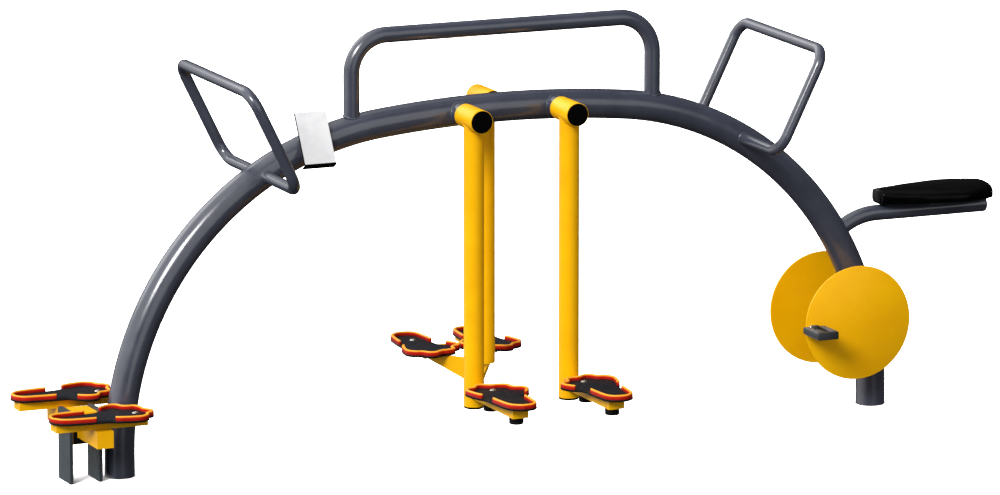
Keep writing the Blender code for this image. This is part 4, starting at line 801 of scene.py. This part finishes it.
def make_bumper(name, x, y, body, node):
    """A round rubber bumper: barrel with a rounded lower edge and a shallow ring moulded below."""
    radius = BUMPER_RADIUS
    top = BUMPER_TOP_Z - BUMPER_BOTTOM_Z
    profile = [
        (0, top), (radius, top), (radius, 0.003), (radius - 0.0009, 0.0009), (radius - 0.003, 0),
        (0.014, 0), (0.013, 0.001), (0.010, 0.001), (0.009, 0), (0, 0),
    ]
    bumper = turned(profile, np.array((x, y, BUMPER_BOTTOM_Z)), Z_AXIS)
    make_piece(name, [surface(bumper)], [BLACK_RUBBER], body, [node])


# Foot pads

# The footprint's corners, from heel to toes and back, as shares of the pad's length and width
FOOTPRINT_SHARES = (
    (-0.500, -0.045), (-0.477, 0.107), (-0.397, 0.203), (-0.210, 0.240), (0.000, 0.267),
    (0.080, 0.405), (0.175, 0.492), (0.262, 0.470), (0.312, 0.335), (0.410, 0.290),
    (0.446, 0.150), (0.450, 0.040), (0.499, -0.107), (0.478, -0.230), (0.420, -0.300),
    (0.390, -0.420), (0.300, -0.505), (0.127, -0.455), (0.000, -0.364), (-0.200, -0.340),
    (-0.400, -0.285), (-0.484, -0.150),
)


def footprint(foot, steps=10):
    """A closed curve through the footprint's corners.

    Between two corners the curve is the cubic whose slope at each of them is half the chord
    between that corner's neighbours.
    """
    corner = np.array(FOOTPRINT_SHARES) * (PAD_LENGTH, foot * PAD_WIDTH)
    t = (np.arange(steps) / steps)[None, :, None]
    before, here, ahead, beyond = (np.roll(corner, shift, 0)[:, None] for shift in (1, 0, -1, -2))
    slope = ahead - before
    square = 2 * before - 5 * here + 4 * ahead - beyond
    cube = 3 * here - before - 3 * ahead + beyond
    curve = 0.5 * (2 * here + slope * t + square * t**2 + cube * t**3)
    outline = curve.reshape(-1, 2)
    return outline if foot > 0 else outline[::-1]


def rim_runs(outline):
    """The parts of the outline that carry a rim: round the toes and round the heel."""
    share = outline[:, 0] / PAD_LENGTH
    toes = np.flatnonzero(share > RIM_TOE_SHARE)
    heel = np.flatnonzero(share < RIM_HEEL_SHARE)
    for run in (toes, heel):
        gap = np.flatnonzero(np.diff(run) > 1)
        yield np.roll(run, -gap[0] - 1) if len(gap) else run


def rim_section():
    """The rim's section: upright flanks under a rounded crest, from the outer to the inner foot.

    On the crest, half the width times sin(angle) to the power 0.8, at the flanks' height plus the
    crest's height times cos(angle) to the same power.
    """
    half = RIM_WIDTH / 2
    power = 0.8
    angle = np.linspace(-QUARTER, QUARTER, 15)
    height = RIM_TOP - RIM_CREST + RIM_CREST * np.cos(angle) ** power
    crest = np.stack([half * signed_power(np.sin(angle), power), height], -1)
    return np.concatenate([((-half, RIM_FOOT),), crest, ((half, RIM_FOOT),)])


def rim_surface(path, inward, section):
    """Carries the section along a run of the outline, with a half round nose at each end.

    In a nose the section moves on by half its width times sin(angle), while its width shrinks
    with cos(angle).
    """
    half = RIM_WIDTH / 2
    across = section[None, :, :1]
    flat = path[:, None] + inward[:, None] * across
    height = np.broadcast_to(section[None, :, 1:], (*flat.shape[:2], 1))
    nose_turn = np.radians((25, 50, 75, 90))[:, None, None]
    noses = []
    for end, beside in ((0, 1), (-1, -2)):
        onward = half * unit(path[end] - path[beside]) * np.sin(nose_turn)
        nose = path[end] + onward + inward[end] * across * np.cos(nose_turn)
        noses.append(np.concatenate([nose, height[:len(nose)]], -1))
    run = np.concatenate([flat, height], -1)
    return np.concatenate([noses[0][::-1], run, noses[1]])


def make_pad(name, place, heading, foot, bolt_share, body):
    """A pad: a rubber base with rounded edges, a grained deck on it, two rims and a bolt's head."""
    outline = footprint(foot) * PAD_SHRINK
    sine = math.sin(heading)
    cosine = math.cos(heading)
    turn = np.array(((cosine, sine, 0), (-sine, cosine, 0), (0, 0, 1)))
    base_rows = [
        (0.004, 0.0), (0.0012, 0.0), (0.0003, 0.0006), (0.0, 0.0018), (0.0, PAD_BASE - 0.0018),
        (0.0004, PAD_BASE - 0.0006), (0.0016, PAD_BASE),
    ]
    deck_rows = [
        (DECK_INSET, PAD_BASE - 0.001), (DECK_INSET, PAD_BASE + 0.0004),
        (DECK_INSET + 0.0006, PAD_BASE + 0.0010), (DECK_INSET + 0.0016, PAD_BASE + 0.0012),
    ]
    grids = []
    for finish, rows in ((1, base_rows), (0, deck_rows)):
        rings = plate(outline, rows) @ turn + place
        grids.append(surface(rings, finish=finish))
        for ring in rings[[0, -1]]:
            grids.append(surface(ladder(ring), ring=False, finish=finish))
    make_piece(f"{name}_deck", grids, [DECK, BLACK_RUBBER], body, [name], 50)
    inward = inward_directions(outline)
    middle = outline + inward * (RIM_INSET + RIM_WIDTH / 2)
    section = rim_section()
    rims = [surface(rim_surface(middle[run], inward[run], section) @ turn + place, ring=False)
            for run in rim_runs(outline)]
    make_piece(f"{name}_rim", rims, [RIM], body, [name], 50)
    bolt = np.array((bolt_share * PAD_LENGTH, 0, PAD_BASE)) @ turn + place
    share = np.linspace(0, 1, 7)
    dome = [(0.0035 + 0.0066 * s, 0.0046 - 0.0034 * s**2.2) for s in share]
    head = turned([(0, 0.0022), (0.0030, 0.0022), *dome, (0.0101, 0.0)], bolt, Z_AXIS, 36)
    make_piece(f"{name}_bolt_head", [surface(head)], [ZINC], body)


# Crank

def make_disc(name, way):
    """A flat disc whose edge is chamfered behind and rounded in front."""
    radius = DISC_RADIUS
    half = DISC_HALF
    edge = DISC_EDGE
    profile = [
        (0, -half), (radius - edge, -half), (radius, edge - half), (radius, half - edge),
        (radius - edge / 3, half - edge / 3), (radius - edge, half), (0, half),
    ]
    disc = turned(profile, CRANK + way * DISC_Y * Y_AXIS, way * Y_AXIS, 128)
    make_piece(f"{name}_wheel", [surface(disc)], [YELLOW], "crank",
               [f"{name}_disc"])


def make_spindle(name, way, pin):
    """The pedal's spindle, with a collar in front of the disc and a six-sided nut behind it."""
    end = DISC_HALF + SPINDLE_END
    step = DISC_HALF + COLLAR_LENGTH
    rod = [
        (0, end), (SPINDLE_RADIUS, end), (SPINDLE_RADIUS, step), (COLLAR_RADIUS - 0.001, step),
        (COLLAR_RADIUS, step - 0.001), (COLLAR_RADIUS, DISC_HALF), (0, DISC_HALF),
    ]
    nut = [
        (0, 0), (0.0118, 0), (0.0125, -0.001), (0.0125, -0.008), (0.0115, -0.009),
        (0.0071, -0.009), (0.0065, -0.011), (0, -0.011),
    ]
    outward = way * Y_AXIS
    grids = [
        surface(turned(rod, pin, outward, 36)),
        surface(turned(nut, pin - DISC_HALF * outward, outward, 6)),
    ]
    make_piece(f"{name}_pin", grids, [ZINC], "crank", [f"{name}_pedal_spindle"], 20)


def make_pedal(name, way, pin):
    """A block pedal: a barrel, two long rails with lighter grey treads, two end walls and a small
    bolt.
    """
    outward = way * Y_AXIS
    begin = PEDAL_START
    end = PEDAL_START + PEDAL_WIDTH
    first = pin + outward * begin
    last = pin + outward * end
    radius = BARREL_RADIUS
    barrel = [
        (0, begin), (radius - 0.0007, begin), (radius, begin + 0.0007),
        (radius, end - 0.003), (0, end - 0.003),
    ]
    grids = [surface(turned(barrel, pin, outward, 32))]
    rail = np.stack([first + outward * 0.0005, last - outward * 0.003])
    tread = np.stack([first + outward * 0.012, last - outward * 0.012])
    side = rounded_rectangle(0.0180, PEDAL_HEIGHT - 0.005, 0.003, 5)
    bar = rounded_rectangle(TREAD_WIDTH, 0.006, 0.0022, 5)
    for shift in (-TREAD_SHARE * PEDAL_LENGTH, TREAD_SHARE * PEDAL_LENGTH):
        grids.append(surface(capped(rail + (shift, 0, 0), side, Z_AXIS, 0.001)))
        for face in (-1, 1):
            middle = tread + (shift, 0, face * (PEDAL_HEIGHT / 2 - 0.003))
            grids.append(surface(capped(middle, bar, Z_AXIS, 0.001), finish=1))
    reach = X_AXIS * np.linspace(-0.5, 0.5, 3)[:, None] * (PEDAL_LENGTH - 0.002)
    walls = ((first + outward * 0.0056, 0.010), (last - outward * 0.0055, PEDAL_HEIGHT))
    for place, height in walls:
        section = rounded_rectangle(PEDAL_WALL, height, 0.002, 5)
        grids.append(surface(capped(place + reach, section, Z_AXIS, 0.003)))
    bolt = [(0, 0.017), (0.006, 0.017), (0.0075, 0.0155), (0.0075, 0.003), (0, 0.003)]
    grids.append(surface(turned(bolt, first + outward * 0.022, Z_AXIS, 24)))
    make_piece(f"{name}_block_pedal", grids, [PEDAL_NYLON, TREAD_NYLON],
               f"{name}_pedal_turning", [f"{name}_pedal"], 40)


def make_crank():
    """The housing, and on each side of it a disc, a spindle and a pedal, half a turn apart."""
    bore = HOUSING_BORE
    radius = HOUSING_RADIUS
    half = HOUSING_HALF
    profile = [
        (bore, -half), (radius - 0.001, -half), (radius, 0.001 - half),
        (radius, half - 0.001), (radius - 0.001, half), (bore, half),
    ]
    housing = surface(turned(profile, CRANK, Y_AXIS), loop=True)
    make_piece("housing", [housing], [GRAPHITE], "frame", ["crank_housing"])
    arm = SPINDLE_REACH * np.array((math.cos(CRANK_TURN), 0, math.sin(CRANK_TURN)))
    for way, name in ((-1, "front"), (1, "rear")):
        pin = CRANK + way * (arm + DISC_Y * Y_AXIS)
        make_disc(name, way)
        make_spindle(name, way, pin)
        make_pedal(name, way, pin)


def paint_rocker_hub_shade():
    """Painted shade: a dark skin round the hub at the beam's middle, below its top plate, where it
    lies in shade.
    """
    rows = [
        (HUB_CHAMFER, HUB_LOW_Z), (0.0, HUB_LOW_Z + HUB_CHAMFER),
        (0.0, HUB_HIGH_Z - HUB_CHAMFER), (HUB_CHAMFER, HUB_HIGH_Z),
    ]
    block = plate(rounded_rectangle(HUB_LENGTH, HUB_WIDTH, 0.003), rows)
    make_piece("rocker_hub_block", [surface(filled(block) + HUB_CENTRE)], [BLACK_RUBBER],
               "rocker")


# Assembly

for name, ob in nodes.items():
    slot = ob.data.materials[0].name.split(".")[0]
    finish = SLOTS[slot]
    if name.startswith("rocker") and name.endswith("upright"):
        finish = UPRIGHT_GREY
    for number in range(len(ob.data.materials)):
        ob.data.materials[number] = finish

make_arch()
make_rail()
make_loop(-1, "left")
make_loop(1, "right")
make_saddle_post()
make_saddle()
make_sign()
for side, name in ((-1, "left"), (1, "right")):
    x = side * FRONT_PIVOT_X
    pivot = np.array((x, 0, arch_height(x)))
    body = f"front_{name}_swing"
    make_stub(f"front_{name}_stub", pivot, -1, arch_direction(x), f"front_{name}_pivot_stub")
    make_swing_arm(f"front_{name}_arm_skin", pivot, -1, ARM_BOTTOM_Z + ARM_CAP, body)
    make_sleeve_cap(f"front_{name}_mouth_cap", pivot, -1, body, f"front_{name}_sleeve_cap")
    make_tube_cap(f"front_{name}_lower_cap", x, body, f"front_{name}_tube_cap")
    make_bumper(f"front_{name}_toe_buffer", x, TOE_BUMPER_Y, body, f"front_{name}_toe_bumper")
    make_bumper(f"front_{name}_heel_buffer", x, HEEL_BUMPER_Y, body, f"front_{name}_heel_bumper")
rear_pivot = np.array((0, 0, arch_height(0)))
make_stub("rear_stub", rear_pivot, 1, X_AXIS, "rear_pivot_stub")
make_swing_arm("rear_arm_skin", rear_pivot, 1, REAR_ARM_BOTTOM_Z, "rear_swing")
make_sleeve_cap("rear_mouth_cap", rear_pivot, 1, "rear_swing", "rear_sleeve_cap")

# Name, place, heading, left or right foot, the bolt's share of the length, and the body it is on
PADS = (
    ("front_left_pad", (-0.147, FRONT_PAD_Y, 0.2085), QUARTER, -1, TOE_BOLT_SHARE,
     "front_left_swing"),
    ("front_right_pad", (0.147, FRONT_PAD_Y, 0.2085), QUARTER, 1, TOE_BOLT_SHARE,
     "front_right_swing"),
    ("rear_left_pad", (0.0955, 0.396, 0.209), -QUARTER, -1, HEEL_BOLT_SHARE, "rear_swing"),
    ("rear_right_pad", (-0.0955, 0.396, 0.209), -QUARTER, 1, HEEL_BOLT_SHARE, "rear_swing"),
    ("rocker_left_pad", (-1.344, 0.158, 0.2153), 0.0, -1, TOE_BOLT_SHARE, "rocker"),
    ("rocker_right_pad", (-1.344, -0.158, 0.2153), 0.0, 1, TOE_BOLT_SHARE, "rocker"),
)
for pad in PADS:
    make_pad(*pad)
make_crank()
paint_rocker_hub_shade()


# Studio

FLOOR_HALF = 60.0
SKY_DIRECTION = (-0.74, 0.32, 0.59)
# Name, strength, rotation in degrees and width in degrees of each lamp
LAMPS = (
    ("key", 2.7, (56, 0, -52), 20), ("front", 0.8, (70, 0, 4), 60),
    ("rim", 0.7, (58, 0, -150), 40), ("side", 1.6, (64, 0, 114), 60),
)
CAMERA_AZIMUTH = math.radians(-23.384)
CAMERA_ELEVATION = math.radians(11.477)
CAMERA_DISTANCE = 21.604
CAMERA_TARGET = Vector((-0.06625, -0.0105, 0.5861))
CAMERA_LENS = 260.56


def floor_material():
    """A matt painted floor.

    The camera sees it white; bounced light sees a quiet pale grey, and reflections see none.
    """
    made = bpy.data.materials.new("matt_white_floor")
    made.use_nodes = True
    tree = made.node_tree
    tree.nodes.clear()
    path = add(tree, "ShaderNodeLightPath").outputs
    inputs = {0: path["Is Camera Ray"], 6: (0.10, 0.10, 0.10, 1), 7: (2.2, 2.2, 2.2, 1)}
    colour = add(tree, "ShaderNodeMix", inputs, data_type="RGBA").outputs[2]
    matt = add(tree, "ShaderNodeBsdfDiffuse", {"Color": colour}).outputs[0]
    clear = add(tree, "ShaderNodeBsdfTransparent").outputs[0]
    shader = add(tree, "ShaderNodeMixShader", {0: path["Is Glossy Ray"], 1: matt, 2: clear})
    add(tree, "ShaderNodeOutputMaterial", {"Surface": shader.outputs[0]})
    return made


def make_floor():
    """A wide level square on no body, so that it isn't part of the object."""
    half = FLOOR_HALF
    corners = [(-half, -half, 0), (half, -half, 0), (half, half, 0), (-half, half, 0)]
    mesh = bpy.data.meshes.new("floor")
    mesh.from_pydata(corners, [], [(0, 1, 2, 3)])
    mesh.materials.append(floor_material())
    floor = bpy.data.objects.new("floor", mesh)
    bpy.context.scene.collection.objects.link(floor)


def make_world():
    """A white background whose light is stronger from the upper left."""
    world = bpy.data.worlds.new("studio")
    bpy.context.scene.world = world
    world.use_nodes = True
    tree = world.node_tree
    tree.nodes.clear()
    seen = add(tree, "ShaderNodeLightPath").outputs["Is Camera Ray"]
    way = add(tree, "ShaderNodeTexCoord").outputs["Generated"]
    inputs = {0: way, 1: SKY_DIRECTION}
    toward = add(tree, "ShaderNodeVectorMath", inputs, operation="DOT_PRODUCT").outputs["Value"]
    inputs = {"Value": toward, "From Min": 0.15, "From Max": 0.9, "To Min": 0.03, "To Max": 1.5}
    ramp = add(tree, "ShaderNodeMapRange", inputs, interpolation_type="SMOOTHSTEP")
    inputs = {0: seen, 2: ramp.outputs["Result"], 3: 1.0}
    strength = add(tree, "ShaderNodeMix", inputs, data_type="FLOAT").outputs[0]
    back = add(tree, "ShaderNodeBackground", {"Color": (1, 1, 1, 1), "Strength": strength})
    add(tree, "ShaderNodeOutputWorld", {"Surface": back.outputs[0]})


def make_lamps():
    """A soft key from the upper left and three wide fills; the side fill shows in no reflection."""
    for name, energy, turn, angle in LAMPS:
        lamp = bpy.data.lights.new(name, "SUN")
        lamp.energy = energy
        lamp.angle = math.radians(angle)
        ob = bpy.data.objects.new(name, lamp)
        ob.rotation_euler = [math.radians(part) for part in turn]
        ob.visible_glossy = name != "side"
        bpy.context.scene.collection.objects.link(ob)


def make_camera():
    """The photograph's viewpoint: a long lens, a little to the left and above."""
    level = math.cos(CAMERA_ELEVATION)
    sine = math.sin(CAMERA_AZIMUTH)
    cosine = math.cos(CAMERA_AZIMUTH)
    back = Vector((sine * level, -cosine * level, math.sin(CAMERA_ELEVATION)))
    right = Vector((cosine, sine, 0))
    lens = bpy.data.cameras.new("camera")
    lens.lens = CAMERA_LENS
    lens.sensor_width = 36
    lens.clip_end = 200
    camera = bpy.data.objects.new("camera", lens)
    turn = Matrix((right, back.cross(right), back)).transposed().to_4x4()
    camera.matrix_world = Matrix.Translation(CAMERA_TARGET + back * CAMERA_DISTANCE) @ turn
    bpy.context.scene.collection.objects.link(camera)
    bpy.context.scene.camera = camera


make_floor()
make_world()
make_lamps()
make_camera()
bpy.context.scene.view_settings.view_transform = "Standard"
